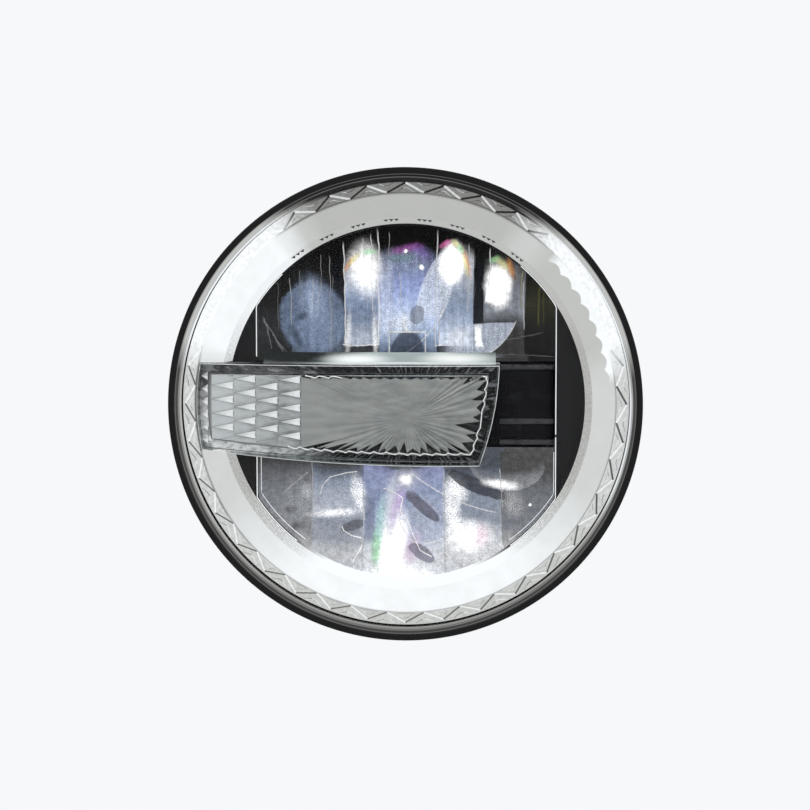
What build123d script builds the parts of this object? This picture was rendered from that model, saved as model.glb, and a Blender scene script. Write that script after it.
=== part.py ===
from build123d import *
import math
import os

# Round motorcycle headlight, in millimetres.
# The optical axis is the Y axis, the lamp shines toward -Y and +Z is up.
# The origin is the centre of the three rear mounting bosses, on the plane of their end faces.

# Trim ring
rim_diameter = 178.0
rim_depth = 16.0
rim_wall = 1.6
rim_band = 2.4
rim_step = 1.6
rim_lip = 2.4
lip_thickness = 1.6

# Outer lens
lens_wall = 2.4
lens_bulge = 14.0
lens_skirt = 6.0
dome_chords = 4
slip = 0.2
ring_side_count = 60

# Rear housing
housing_wall = 2.4
back_wall = 3.0
shoulder_taper = 4.7
shoulder_drop = 8.0
back_taper = 4.5
collar_play = 0.4
shelf_width = 5.0
boss_count = 3
boss_radius = 7.0
boss_height = 14.0
boss_edge = 3.0
insert_radius = 4.5
insert_bore = 2.5
insert_length = 10.0

# Halo light guide
prism_count = 36
prism_tip_gap = 0.8
prism_height = 2.8
prism_web = 1.2
prism_thickness = 2.4
flange_web = 1.0
halo_width = 8.9
halo_slope = 2.7
halo_rise = 1.0
halo_face_slope = 1.2
guide_depth = 5.0
halo_board_thickness = 1.6
halo_board_play = 0.7
halo_board_inset = 2.3
halo_led_size = 3.0
halo_led_height = 0.9

# Mirrors, bezel and divider
window_margin = 0.6
window_side_cut = 10.7
window_corner = 5.0
bezel_thickness = 2.0
bezel_margin = 1.6
bezel_play = 0.3
divider_top = 17.0
divider_bottom = -19.0
mirror_wall = 2.0
mirror_floor = 1.4
mirror_depth = 40.0
mirror_clearance = 4.6
mirror_chords = 8
facet_step = 2.6
low_splits = (12.0, 29.5, 45.5)
high_splits = (16.5, 37.0)
mask_setback = 2.0
mask_thickness = 2.0
mask_rib = 1.0
mask_rib_width = 2.0
mask_rib_down = 2.0
mask_ribs_up = (2.0, 10.0)

# Light-source bracket and boards
bracket_half_width = 44.0
bracket_wall = 3.0
beam_board_width = 40.0
beam_board_gap = 1.3
beam_board_tail = 10.0
beam_board_thickness = 1.6
beam_led_size = 3.4
beam_led_pitch = 4.2
beam_led_count = 3
beam_led_height = 1.0
led_window_width = 15.0
led_window_length = 9.0

# Bar across the front
bar_top = 15.2
bar_right_top = 35.5
bar_right_bulge = 34.0
bar_right_bottom = 28.0
bar_bottom_right = -22.4
bar_middle = -22.0
bar_bottom_middle = -21.6
bar_bottom_left = -17.5
bar_lens_gap = 3.2
bar_front_wall = 2.6
bar_wall = 4.0
bar_play = 0.4
bar_led_gap = 0.1
bar_tray_wall = 1.0
star_x = 1.0
star_z = -5.0
star_points = 56
star_pleat = 1.3
star_gap = 2.0
star_left = -38.6
prism_rows = 5
prism_columns = 4
prism_end = 1.2
prism_width = 2.8
prism_crest = 1.5
ledge_rise = 3.8
ledge_gap = 2.5
neck_inset = 4.0
bar_board_thickness = 1.2
bar_led_count = 5

# Driver electronics
driver_width = 80.0
driver_height = 20.0
driver_thickness = 1.6
driver_standoff = 8.0
standoff_size = 5.0
coil_size = 11.0
coil_height = 7.0
capacitor_radius = 3.6
capacitor_height = 9.5
capacitor_side_count = 12
driver_pitch = 15.0

# Heat sink
sink_side_margin = 27.0
sink_end_margin = 31.0
sink_boss_gap = 4.4
sink_base = 5.0
gasket_width = 6.0
gasket_thickness = 1.0
fin_count = 11
fin_margin = 3.0
fin_thickness = 2.4
fin_length = 26.0
fin_draft = 6.0

# Connector and breather
socket_width = 20.0
socket_height = 10.0
socket_wall = 1.5
socket_depth = 18.0
socket_floor = 3.0
socket_flange = 1.4
socket_gap = 4.0
pin_count = 4
pin_pitch = 4.6
pin_width = 1.6
pin_thickness = 0.8
pin_length = 8.0
pin_tail = 6.0
seal_thickness = 0.8
vent_angle = 150.0
vent_radius = 6.0
vent_height = 6.0
vent_chamfer = 1.0

# Stations along the axis, from front to rear
mirror_front_depth = rim_step + lip_thickness + lens_skirt + guide_depth + slip + bezel_thickness
mirror_back_depth = mirror_wall + mirror_clearance + back_wall + boss_height
rim_front = -(mirror_front_depth + mirror_depth + mirror_back_depth)
rim_back = rim_front + rim_depth
lip_front = rim_front + rim_step
lip_back = lip_front + lip_thickness
flange_front = lip_back + lens_skirt
guide_front = flange_front - prism_thickness - halo_rise
guide_back = flange_front + guide_depth
board_front = guide_back + halo_led_height + slip / 2
shelf_front = board_front + halo_board_thickness
bezel_front = guide_back + slip
bezel_back = bezel_front + bezel_thickness
mirror_vertex = bezel_back + mirror_depth
mask_front = bezel_back + mask_setback
mask_back = mask_front + mask_thickness
housing_back = -boss_height
housing_floor = housing_back - back_wall
bracket_back = housing_floor
bar_tray_back = guide_back
bar_board_back = bar_tray_back - bar_tray_wall
bar_board_front = bar_board_back - bar_board_thickness
bar_back = bar_board_front - halo_led_height - bar_led_gap
sink_front = housing_back + gasket_thickness
sink_back = sink_front + sink_base
driver_back = bracket_back - bracket_wall - driver_standoff
driver_front = driver_back - driver_thickness
socket_front = housing_floor - seal_thickness - socket_flange

# Sizes that follow from those above
rim_radius = rim_diameter / 2
rim_inner = rim_radius - rim_wall
lip_radius = rim_radius - rim_band - rim_lip
lens_edge = rim_inner - 2 * slip
skirt_inner = lens_edge - lens_wall
prism_tip = lip_radius - prism_tip_gap
prism_root = prism_tip - prism_height
halo_outer = prism_root - prism_web
halo_inner = halo_outer - halo_width
halo_back = halo_inner - halo_slope
halo_middle = (halo_outer + halo_back) / 2
collar_in = halo_outer + collar_play
shoulder_radius = collar_in + housing_wall - shoulder_taper
back_radius = shoulder_radius - back_taper
boss_circle = 2 * (back_radius - boss_radius - boss_edge)
dome_radius = (lip_radius**2 + lens_bulge**2) / (2 * lens_bulge)
dome_centre = lip_back - lens_bulge + dome_radius
bezel_radius = halo_back + bezel_margin
window_radius = halo_back - window_margin
window_half_width = window_radius - window_side_cut
bar_end = halo_outer - bar_play
prism_left = bar_end - bar_wall - bar_play - prism_end
prism_length = (prism_left + star_left - bar_play) / prism_columns
ledge_left = ledge_gap - window_half_width
sink_width = 2 * (back_radius - sink_side_margin)
sink_height = 2 * (back_radius - sink_end_margin)
fin_pitch = (sink_width - 2 * fin_margin - fin_thickness) / (fin_count - 1)
socket_z = -(sink_height / 2 + socket_gap + socket_wall + socket_height / 2)
floor_top = divider_top - mirror_floor
floor_bottom = divider_bottom + mirror_floor
divider_middle = (floor_top + floor_bottom) / 2


def dome(radius, distance):
    """Station of a sphere about the dome centre, at a distance from the axis."""
    return dome_centre - math.sqrt(radius**2 - distance**2)


def plate(outline, front, back):
    """Flat outline in x and z, carried from one station to another."""
    plane = Plane(origin=(0, back, 0), x_dir=(1, 0, 0), z_dir=(0, -1, 0))
    return extrude(plane * outline, amount=back - front)


def rod(place, radius, front, back):
    """Round bar along the axis at an (x, z) place."""
    return plate(Pos(*place) * Circle(radius), front, back)


def block(x_span, y_span, z_span):
    """Rectangular solid between two limits on each axis."""
    spans = (x_span, y_span, z_span)
    centre = [(low + high) / 2 for low, high in spans]
    return Pos(*centre) * Box(*[high - low for low, high in spans])


def around(radius, count, start):
    """Evenly spaced (x, z) places on a circle about the axis."""
    angles = [math.radians(start + 360 * i / count) for i in range(count)]
    return [(radius * math.cos(a), radius * math.sin(a)) for a in angles]


def facet(*corners):
    """Flat face through corners in space."""
    return Face(Wire.make_polygon(corners, close=True))


def turned(*corners):
    """Ring of flats about the optical axis, from (radius, y) corners of its section."""
    turns = around(1, ring_side_count, 0)
    faces = []
    for a, b in zip(corners, corners[1:] + corners[:1]):
        for p, q in zip(turns, turns[1:] + turns[:1]):
            ends = [(a, p), (a, q), (b, q), (b, p)]
            points = dict.fromkeys((r * x, y, r * z) for (r, y), (x, z) in ends)
            if len(points) > 2:
                faces.append(facet(*points))
    return Solid(Shell(faces)).clean()


# Rim, lens and housing

def trim_ring():
    band = rim_radius - rim_band
    return turned(
        (rim_radius, rim_front), (rim_radius, rim_back), (rim_inner, rim_back), (rim_inner, lip_back),
        (lip_radius, lip_back), (lip_radius, lip_front), (band, lip_front), (band, rim_front),
    )


def dome_points(radius, edge):
    """Corners of a dome section, from the crown out to its edge."""
    steps = [edge * i / dome_chords for i in range(dome_chords + 1)]
    return [(r, dome(radius, r)) for r in steps]


def outer_lens():
    outside = dome_points(dome_radius, lens_edge)
    inside = dome_points(dome_radius - lens_wall, skirt_inner)
    return turned(*outside, (lens_edge, flange_front), (skirt_inner, flange_front), *reversed(inside))


def boss_places():
    return around(boss_circle / 2, boss_count, 90)


def rear_housing():
    shoulder = housing_back - shoulder_drop
    inner_wall = collar_in - housing_wall / 2
    body = turned(
        (rim_inner - slip, flange_front), (rim_inner - slip, rim_back), (collar_in + housing_wall, rim_back),
        (shoulder_radius, shoulder), (back_radius, housing_back), (0, housing_back), (0, housing_floor),
        (back_radius - housing_wall, housing_floor), (inner_wall, shelf_front + shelf_width),
        (collar_in - shelf_width, shelf_front), (collar_in, shelf_front), (collar_in, flange_front),
    )
    for place in boss_places():
        body += rod(place, boss_radius, housing_back, 0)
        body -= plate(hexagon(place, insert_radius), -insert_length, 0)
    body -= plate(sink_outline(gasket_width), housing_floor, housing_back)
    return body - plate(socket_outline(socket_wall + slip), housing_floor, housing_back)


def mount_inserts():
    return [
        plate(hexagon(place, insert_radius) - Pos(*place) * Circle(insert_bore), -insert_length, 0)
        for place in boss_places()
    ]


# Halo

def halo_light_guide():
    inner_front = guide_front + halo_face_slope
    ring = turned(
        (halo_outer, guide_front), (halo_inner, inner_front),
        (halo_back, guide_back), (halo_outer, guide_back),
    )
    tips = around(prism_tip, prism_count, 0)
    roots = around(prism_root, prism_count, 180 / prism_count)
    zigzag = make_face(Polyline(*[p for pair in zip(tips, roots) for p in pair], close=True))
    bore = Circle(halo_outer - prism_thickness)
    ring += plate(zigzag - bore, flange_front - prism_thickness, flange_front)
    web = RegularPolygon(skirt_inner - 2 * slip, ring_side_count)
    ring += plate(web - bore, flange_front - flange_web, flange_front)
    return ring - plate(bar_outline(-bar_play) & Circle(halo_outer), guide_front - halo_rise, guide_back)


def halo_led_places():
    """Light-source places on the halo, leaving out those behind the bar."""
    places = around(halo_middle, prism_count, 180 / prism_count)
    return [p for p in places if p[0] > 0 or not bar_bottom_left < p[1] < bar_top]


def halo_board():
    outline = RegularPolygon(halo_outer - halo_board_inset, prism_count)
    outline -= RegularPolygon(bezel_radius + halo_board_play, prism_count)
    return plate(outline, board_front, shelf_front)


def halo_leds():
    return [
        plate(
            Pos(x, z) * Rot(0, 0, math.degrees(math.atan2(z, x))) * Rectangle(halo_led_size, halo_led_size),
            board_front - halo_led_height, board_front,
        )
        for x, z in halo_led_places()
    ]


# Mirrors, bezel and divider

def window_outline(growth):
    """Mirror opening: a circle cut by two upright chords, with rounded corners."""
    shape = Circle(window_radius + growth) & Rectangle(
        2 * (window_half_width + growth), 2 * (window_radius + growth)
    )
    return fillet(shape.vertices(), window_corner + growth)


def inner_bezel():
    return plate(RegularPolygon(bezel_radius, ring_side_count) - window_outline(0), bezel_front, bezel_back)


def mirror_radius(base):
    """Radius of a facet that stands upright at the divider and meets the bezel at the top."""
    reach = window_radius - abs(base)
    return (mirror_depth**2 + reach**2) / (2 * mirror_depth)


def mirror_bowl(base, side, splits, growth, under):
    """Upright facets of one radius, each a step farther forward than the one nearer the middle.

    A grown bowl is the moulded back of the mirror, with flats in place of the arcs.
    """
    edge = window_half_width + mirror_wall
    lines = [-edge, *[-s for s in reversed(splits)], *splits, edge]
    radius = mirror_radius(base) + growth
    front = bezel_back - mirror_depth
    top = base + side * radius
    low = base - side * under
    turns = [math.pi / 2 * i / mirror_chords for i in range(mirror_chords + 1)]
    body = None
    for i, (left, right) in enumerate(zip(lines, lines[1:])):
        x = left - growth
        centre = mirror_vertex - mirror_radius(base) - facet_step * abs(i - len(splits))
        bend = [(x, centre + radius * math.cos(t), base + side * radius * math.sin(t)) for t in turns]
        curve = Polyline(*bend) if growth else ThreePointArc(bend[0], bend[mirror_chords // 2], bend[-1])
        foot = [(x, centre + radius, low), bend[0]] if under else [bend[0]]
        rest = Polyline(bend[-1], (x, front, top), (x, front, low), *foot)
        section = make_face([*curve.edges(), *rest.edges()])
        strip = extrude(section, amount=right - left + 2 * growth, dir=(1, 0, 0))
        body = strip if body is None else body + strip
    return body


def half_window(base, side, growth, under):
    """Part of the mirror opening on one side of the divider."""
    low = base - side * under
    far = side * (window_radius + growth)
    return window_outline(growth) & Pos(0, (low + far) / 2) * Rectangle(
        2 * (window_half_width + growth), abs(far - low)
    )


def led_station(base):
    """Station of the light source, half a facet radius in front of the middle facet."""
    return mirror_vertex - mirror_radius(base) / 2


def mirror_shell(base, side, splits):
    back = mirror_vertex + mirror_wall
    shell = mirror_bowl(base, side, splits, mirror_wall, mirror_floor)
    shell &= plate(half_window(base, side, mirror_wall, mirror_floor), bezel_back, back)
    room = mirror_bowl(base, side, splits, 0, 0)
    shell -= room & plate(half_window(base, side, 0, 0), bezel_back, back)
    middle = led_station(base)
    half_x = led_window_width / 2
    half_y = led_window_length / 2
    floor_span = sorted((base, base - side * mirror_floor))
    return shell - block((-half_x, half_x), (middle - half_y, middle + half_y), floor_span)


def divider_mask():
    half = window_half_width - bezel_play
    low = floor_bottom + slip
    high = floor_top - slip
    cover = block((-half, half), (mask_front, mask_back), (low, high))
    for z in (high - mask_rib_down, *[low + up for up in mask_ribs_up]):
        rib_span = (z - mask_rib_width / 2, z + mask_rib_width / 2)
        cover += block((bar_right_top, half), (mask_front - mask_rib, mask_front), rib_span)
    return cover


# Light-source bracket and boards

def board_span(base):
    return (mask_back + beam_board_gap, led_station(base) + beam_board_tail)


def led_bracket():
    half = bracket_half_width
    inside = (floor_bottom + bracket_wall, floor_top - bracket_wall)
    body = block((-half, half), (mask_back, bracket_back), (floor_bottom, floor_top))
    body -= block((-half, half), (mask_back, bracket_back - bracket_wall), inside)
    return body - beam_board(divider_top, 1) - beam_board(divider_bottom, -1)


def beam_board(base, side):
    z = base - side * mirror_floor
    board_x = (-beam_board_width / 2, beam_board_width / 2)
    return block(board_x, board_span(base), sorted((z, z - side * beam_board_thickness)))


def beam_leds(base, side):
    z = base - side * mirror_floor
    middle = led_station(base)
    half = beam_led_size / 2
    places = [(i - (beam_led_count - 1) / 2) * beam_led_pitch for i in range(beam_led_count)]
    return [
        block((x - half, x + half), (middle - half, middle + half), sorted((z, z + side * beam_led_height)))
        for x in places
    ]


# Bar across the front

def bar_outline(inset):
    """Front outline of the bar, its left end curved to the halo ring."""
    bottom_left = (-math.sqrt(bar_end**2 - bar_bottom_left**2), bar_bottom_left)
    top_left = (-math.sqrt(bar_end**2 - bar_top**2), bar_top)
    bottom_right = (bar_right_bottom, bar_bottom_right)
    shape = make_face([
        Line(top_left, (bar_right_top, bar_top)),
        ThreePointArc((bar_right_top, bar_top), (bar_right_bulge, 0), bottom_right),
        ThreePointArc(bottom_right, (bar_middle, bar_bottom_middle), bottom_left),
        ThreePointArc(bottom_left, (-bar_end, 0), top_left),
    ])
    return offset(shape, -inset, kind=Kind.INTERSECTION) if inset else shape


def bar_front(depth):
    """Radius about the dome centre of a surface this deep behind the front of the bar."""
    return dome_radius - lens_wall - bar_lens_gap - depth


def behind_bar_front(solid, depth):
    """Trim a solid to the upright cylinder that the front of the bar follows."""
    return solid & Pos(0, dome_centre, 0) * Cylinder(bar_front(depth), 4 * bar_end)


def bar_lens():
    start = dome(dome_radius, 0)
    body = behind_bar_front(plate(bar_outline(0), start, bar_back), 0)
    return body - behind_bar_front(plate(bar_outline(bar_wall), start, bar_back), bar_front_wall)


def star_optic():
    """Pleated plate: ridges and valleys that all run out from one point."""
    keep = Pos(star_left + bar_end, 0) * Rectangle(2 * bar_end, 2 * bar_end)
    rim = (bar_outline(bar_wall + bar_play) & keep).face().outer_wire()
    depth = bar_front_wall + star_gap
    back = bar_back - bar_play
    front = []
    for i in range(star_points):
        p = rim.position_at(i / star_points)
        lift = star_pleat if i % 2 else 0
        front.append((p.X, dome(bar_front(depth + lift), abs(p.X)), p.Y))
    middle = (star_x, dome(bar_front(depth), abs(star_x)), star_z)
    rear = [(x, back, z) for x, _, z in front]
    faces = [facet(*reversed(rear))]
    for i in range(star_points):
        j = (i + 1) % star_points
        faces.append(facet(front[i], front[j], middle))
        faces.append(facet(front[i], rear[i], rear[j], front[j]))
    return Solid(Shell(faces))


def wedge(tip, left, right, crest):
    """Prism that rises from a point to a three-cornered end."""
    return Solid(Shell([
        facet(tip, left, right), facet(tip, crest, left), facet(tip, right, crest), facet(left, crest, right)
    ]))


def prism_optic():
    """Stepped plate of wedge prisms in staggered columns, each rising to its right-hand end."""
    inset = bar_wall + bar_play
    low = bar_bottom_left + inset + prism_width / 2
    row_pitch = (bar_top - inset - prism_width / 2 - low) / (prism_rows - 1)
    body = None
    for column in range(prism_columns):
        right = star_left - bar_play - column * prism_length
        left = right - prism_length
        tip_room = dome(bar_front(bar_front_wall + bar_play), abs(left))
        crest_room = dome(bar_front(bar_front_wall + prism_crest + bar_play), abs(right))
        top = max(tip_room, crest_room)
        strip = Pos((left + right) / 2, 0) * Rectangle(prism_length, 2 * bar_end)
        step = plate(bar_outline(inset) & strip, top, bar_back - bar_play)
        body = step if body is None else body + step
        for row in range(prism_rows - column % 2):
            z = low + (row + column % 2 / 2) * row_pitch
            base = right - bar_play
            half = prism_width / 2
            body += wedge(
                (left + bar_play, top, z), (base, top, z - half), (base, top, z + half),
                (base, top - prism_crest, z),
            )
    return body


def bar_housing():
    tray = plate(bar_outline(0), bar_back, bar_tray_back)
    tray -= plate(bar_outline(bar_tray_wall), bar_back, bar_tray_back - bar_tray_wall)
    neck_right = bar_right_bottom - neck_inset
    neck_span = (floor_bottom + 2 * bezel_play, floor_top - neck_inset)
    tray += block((ledge_left, neck_right), (bar_tray_back, mask_front), neck_span)
    ledge_back = bezel_back - slip
    section = make_face(Polyline(
        (ledge_left, bar_back, bar_top), (ledge_left, ledge_back, bar_top + ledge_rise),
        (ledge_left, ledge_back, bar_top - neck_inset), (ledge_left, bar_tray_back, bar_top - neck_inset),
        (ledge_left, bar_tray_back, bar_top), close=True,
    ))
    return tray + extrude(section, amount=bar_right_bulge - ledge_left, dir=(1, 0, 0))


def bar_board():
    return plate(bar_outline(bar_tray_wall + bar_play), bar_board_front, bar_board_back)


def bar_leds():
    front = bar_board_front - halo_led_height
    pitch = (bar_right_bottom - star_left) / bar_led_count
    half = halo_led_size / 2
    places = [star_left + (i + 0.5) * pitch for i in range(bar_led_count)]
    return [
        block((x - half, x + half), (front, bar_board_front), (star_z - half, star_z + half))
        for x in places
    ]


# Driver electronics

def driver_board():
    outline = Pos(0, divider_middle) * Rectangle(driver_width, driver_height)
    return plate(outline, driver_front, driver_back)


def driver_standoffs():
    x = (driver_width - standoff_size) / 2
    z = (driver_height - standoff_size) / 2
    places = [(i * x, divider_middle + j * z) for i in (-1, 1) for j in (-1, 1)]
    back = bracket_back - bracket_wall
    return [plate(Pos(*p) * Rectangle(standoff_size, standoff_size), driver_back, back) for p in places]


def driver_coils():
    places = [(-driver_pitch, divider_middle), (driver_pitch, divider_middle)]
    coil = Rectangle(coil_size, coil_size)
    return [plate(Pos(*p) * coil, driver_front - coil_height, driver_front) for p in places]


def driver_capacitor():
    outline = Pos(0, divider_middle) * RegularPolygon(capacitor_radius, capacitor_side_count)
    return plate(outline, driver_front - capacitor_height, driver_front)


# Heat sink

def sink_outline(inset):
    """Outline of the heat sink base, its corners clipped clear of the bosses, drawn in by an inset."""
    x, z = boss_places()[-1]
    clear = abs(x) + abs(z) - (boss_radius + sink_boss_gap) * math.sqrt(2)
    outline = chamfer(Rectangle(sink_width, sink_height).vertices(), (sink_width + sink_height) / 2 - clear)
    return offset(outline, -inset, kind=Kind.INTERSECTION) if inset else outline


def heat_sink():
    body = plate(sink_outline(0), sink_front, sink_back)
    body += plate(sink_outline(gasket_width + slip), housing_floor, sink_front)
    root = sink_height / 2 - fin_margin
    tip = root - fin_draft
    stem = plate(sink_outline(fin_margin / 2), sink_back, sink_back + fin_length)
    for i in range(fin_count):
        x = (i - (fin_count - 1) / 2) * fin_pitch - fin_thickness / 2
        section = make_face(Polyline(
            (x, sink_back, -root), (x, sink_back + fin_length, -tip), (x, sink_back + fin_length, tip),
            (x, sink_back, root), close=True,
        ))
        body += extrude(section, amount=fin_thickness, dir=(1, 0, 0)) & stem
    return body


def heat_sink_gasket():
    return plate(sink_outline(0) - sink_outline(gasket_width), housing_back, sink_front)


# Connector and breather

def hexagon(place, radius):
    return Pos(*place) * RegularPolygon(radius, 6)


def socket_outline(growth):
    """Outline of the connector shroud, grown outward from its cavity."""
    return Pos(0, socket_z) * Rectangle(socket_width + 2 * growth, socket_height + 2 * growth)


def pin_outlines():
    places = [(i - (pin_count - 1) / 2) * pin_pitch for i in range(pin_count)]
    return Sketch() + [Pos(x, socket_z) * Rectangle(pin_width, pin_thickness) for x in places]


def connector_socket():
    floor = socket_front + socket_floor
    grip = socket_wall + 2 * socket_flange
    body = plate(socket_outline(socket_wall), socket_front, floor + socket_depth)
    body += plate(socket_outline(grip), socket_front, socket_front + socket_flange)
    body -= plate(socket_outline(0), floor, floor + socket_depth)
    return body - plate(pin_outlines(), socket_front, floor)


def connector_pins():
    return plate(pin_outlines(), socket_front - pin_tail, socket_front + socket_floor + pin_length)


def connector_seal():
    ring = socket_outline(socket_wall + 2 * socket_flange) - socket_outline(socket_wall)
    return plate(ring, housing_floor - seal_thickness, housing_floor)


def breather_vent():
    angle = math.radians(vent_angle)
    place = (boss_circle / 2 * math.cos(angle), boss_circle / 2 * math.sin(angle))
    cap = plate(hexagon(place, vent_radius), housing_back, housing_back + vent_height)
    return chamfer(cap.faces().sort_by(Axis.Y)[-1].edges(), vent_chamfer)


parts = {
    "trim_ring": trim_ring(),
    "outer_lens": outer_lens(),
    "rear_housing": rear_housing(),
    "mount_inserts": mount_inserts(),
    "halo_light_guide": halo_light_guide(),
    "halo_board": halo_board(),
    "halo_leds": halo_leds(),
    "inner_bezel": inner_bezel(),
    "low_beam_reflector": mirror_shell(divider_top, 1, low_splits),
    "high_beam_reflector": mirror_shell(divider_bottom, -1, high_splits),
    "divider_mask": divider_mask(),
    "led_bracket": led_bracket(),
    "low_beam_board": beam_board(divider_top, 1),
    "high_beam_board": beam_board(divider_bottom, -1),
    "low_beam_leds": beam_leds(divider_top, 1),
    "high_beam_leds": beam_leds(divider_bottom, -1),
    "bar_lens": bar_lens(),
    "star_optic": star_optic(),
    "prism_optic": prism_optic(),
    "bar_housing": bar_housing(),
    "bar_board": bar_board(),
    "bar_leds": bar_leds(),
    "driver_board": driver_board(),
    "driver_standoffs": driver_standoffs(),
    "driver_coils": driver_coils(),
    "driver_capacitor": driver_capacitor(),
    "heat_sink": heat_sink(),
    "heat_sink_gasket": heat_sink_gasket(),
    "connector_socket": connector_socket(),
    "connector_pins": connector_pins(),
    "connector_seal": connector_seal(),
    "breather_vent": breather_vent(),
}

os.makedirs("parts", exist_ok=True)
for name, shape in parts.items():
    solid = Compound(children=shape) if isinstance(shape, list) else shape
    export_step(solid, f"parts/{name}.step")
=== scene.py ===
import bpy, bmesh, math
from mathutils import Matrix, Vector


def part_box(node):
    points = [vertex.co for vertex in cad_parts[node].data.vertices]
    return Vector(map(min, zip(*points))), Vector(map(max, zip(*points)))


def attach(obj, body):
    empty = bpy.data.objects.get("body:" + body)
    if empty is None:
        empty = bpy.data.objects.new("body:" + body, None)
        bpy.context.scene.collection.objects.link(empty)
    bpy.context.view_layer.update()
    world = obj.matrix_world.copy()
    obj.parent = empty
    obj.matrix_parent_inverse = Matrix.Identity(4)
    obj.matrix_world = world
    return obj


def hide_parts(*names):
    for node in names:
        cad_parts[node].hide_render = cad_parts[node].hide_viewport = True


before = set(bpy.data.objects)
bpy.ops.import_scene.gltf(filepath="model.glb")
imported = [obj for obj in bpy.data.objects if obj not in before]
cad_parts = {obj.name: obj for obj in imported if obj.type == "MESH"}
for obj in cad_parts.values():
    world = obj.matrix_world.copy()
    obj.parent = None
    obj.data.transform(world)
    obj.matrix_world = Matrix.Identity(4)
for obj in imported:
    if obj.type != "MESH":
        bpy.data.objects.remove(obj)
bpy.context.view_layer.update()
MM = 0.001


# Rear housing: one moulded bowl of black glass-filled plastic, with three bosses for the mounting bolts.
# Its flange carries the lens and its back wall the heat sink.
# The edges are eased as a mould leaves them, and the skin has a fine spark-eroded grain.

def fill(tree, socket, value):
    """Wire a socket to another or set it. A colour of three parts is taken as opaque."""
    if isinstance(value, bpy.types.NodeSocket):
        tree.links.new(value, socket)
    elif value is not None:
        opaque = socket.type == "RGBA" and len(value) == 3
        socket.default_value = (*value, 1) if opaque else value


def add(tree, kind, *values, **settings):
    """New node with its settings. Values fill its inputs in order, and None passes one over."""
    made = tree.nodes.new(kind)
    for key, value in settings.items():
        setattr(made, key, value)
    for socket, value in zip(made.inputs, values):
        fill(tree, socket, value)
    return made


def maths(tree, operation, *values):
    """Result of one operation on numbers."""
    return add(tree, "ShaderNodeMath", *values, operation=operation).outputs[0]


def tinted(tree, share, below, above):
    """Colour that goes from one tone to another by a share."""
    unused = [None] * 5
    return add(tree, "ShaderNodeMix", share, *unused, below, above, data_type="RGBA").outputs[2]


def ramped(tree, value, low, high, start, end):
    """Value carried from one span to another and held at the ends."""
    return add(tree, "ShaderNodeMapRange", value, low, high, start, end).outputs[0]


def noise(tree, place, scale, *detail, kind="Fac"):
    """Soft random value or colour, with its detail, roughness, lacunarity and distortion."""
    return add(tree, "ShaderNodeTexNoise", place, None, scale, *detail).outputs[kind]


def speckle(tree, place, size, detail=2.0):
    """Soft random value whose features are about one size, in millimetres."""
    return noise(tree, place, 1 / (size * MM), detail)


def new_finish(name):
    """Empty finish: its material, its node tree and the place on the object."""
    material = bpy.data.materials.new(name)
    material.use_nodes = True
    tree = material.node_tree
    return material, tree, add(tree, "ShaderNodeTexCoord").outputs["Object"]


surface_inputs = {"colour": "Base Color", "rough": "Roughness", "metal": "Metallic", "relief": "Normal",
                  "shine": "Specular IOR Level", "tint": "Specular Tint",
                  "light": "Emission Color", "strength": "Emission Strength"}


def coat(tree, **looks):
    """Fill inputs of the surface shader. Light has full strength unless another is given."""
    shader = tree.nodes["Principled BSDF"]
    if "light" in looks:
        looks.setdefault("strength", 1.0)
    for look, value in looks.items():
        fill(tree, shader.inputs[surface_inputs[look]], value)
    return shader.outputs[0]


def bumped(tree, height, strength, depth):
    """Relief that follows a height, with its depth in millimetres."""
    bump = tree.nodes.new("ShaderNodeBump")
    for label, value in (("Strength", strength), ("Distance", depth * MM), ("Height", height)):
        fill(tree, bump.inputs[label], value)
    return bump.outputs[0]


def solid_finish(name, tone, other, rough, grain, relief, metal=0.0, shine=0.5, drift=0.2):
    """Two close tones in soft clouds, a drifting roughness and a fine grain in relief."""
    material, tree, place = new_finish(name)
    cloud = speckle(tree, place, 14 * grain)
    fine = speckle(tree, place, grain, 4.0)
    mixed = ramped(tree, maths(tree, "ADD", cloud, fine), 0.7, 1.3, 0, 1)
    coat(tree, colour=tinted(tree, mixed, tone, other), metal=metal, shine=shine,
         rough=ramped(tree, cloud, 0.3, 0.7, rough * (1 - drift), rough * (1 + drift)),
         relief=bumped(tree, fine, relief, 0.1 * grain))
    return material


def as_mesh(name, shape):
    """Plain mesh of a shape, which is then let go."""
    mesh = bpy.data.meshes.new(name)
    shape.to_mesh(mesh)
    shape.free()
    return mesh


def linked(name, mesh):
    """New object of a mesh, in the scene."""
    piece = bpy.data.objects.new(name, mesh)
    bpy.context.scene.collection.objects.link(piece)
    return piece


def settled(piece):
    """Turn a piece and its modifiers into a plain mesh."""
    graph = bpy.context.evaluated_depsgraph_get()
    mesh = bpy.data.meshes.new_from_object(piece.evaluated_get(graph), depsgraph=graph)
    piece.modifiers.clear()
    piece.data = mesh
    return piece


weld_reach, flat_limit = 0.002 * MM, math.radians(0.5)


def eased_copy(node, name, ease, steps=2, edge=30):
    """Copy of a solid's skin with its flat faces made whole and its edges rounded."""
    shape = bmesh.new()
    shape.from_mesh(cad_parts[node].data)
    bmesh.ops.remove_doubles(shape, verts=shape.verts, dist=weld_reach)
    bmesh.ops.dissolve_limit(shape, angle_limit=flat_limit, verts=shape.verts, edges=shape.edges)
    piece = linked(name, as_mesh(name, shape))
    bevel = piece.modifiers.new("ease", "BEVEL")
    bevel.width, bevel.segments = ease * MM, steps
    bevel.limit_method, bevel.angle_limit = "ANGLE", math.radians(edge)
    bevel.use_clamp_overlap = True
    return settled(piece)


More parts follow.
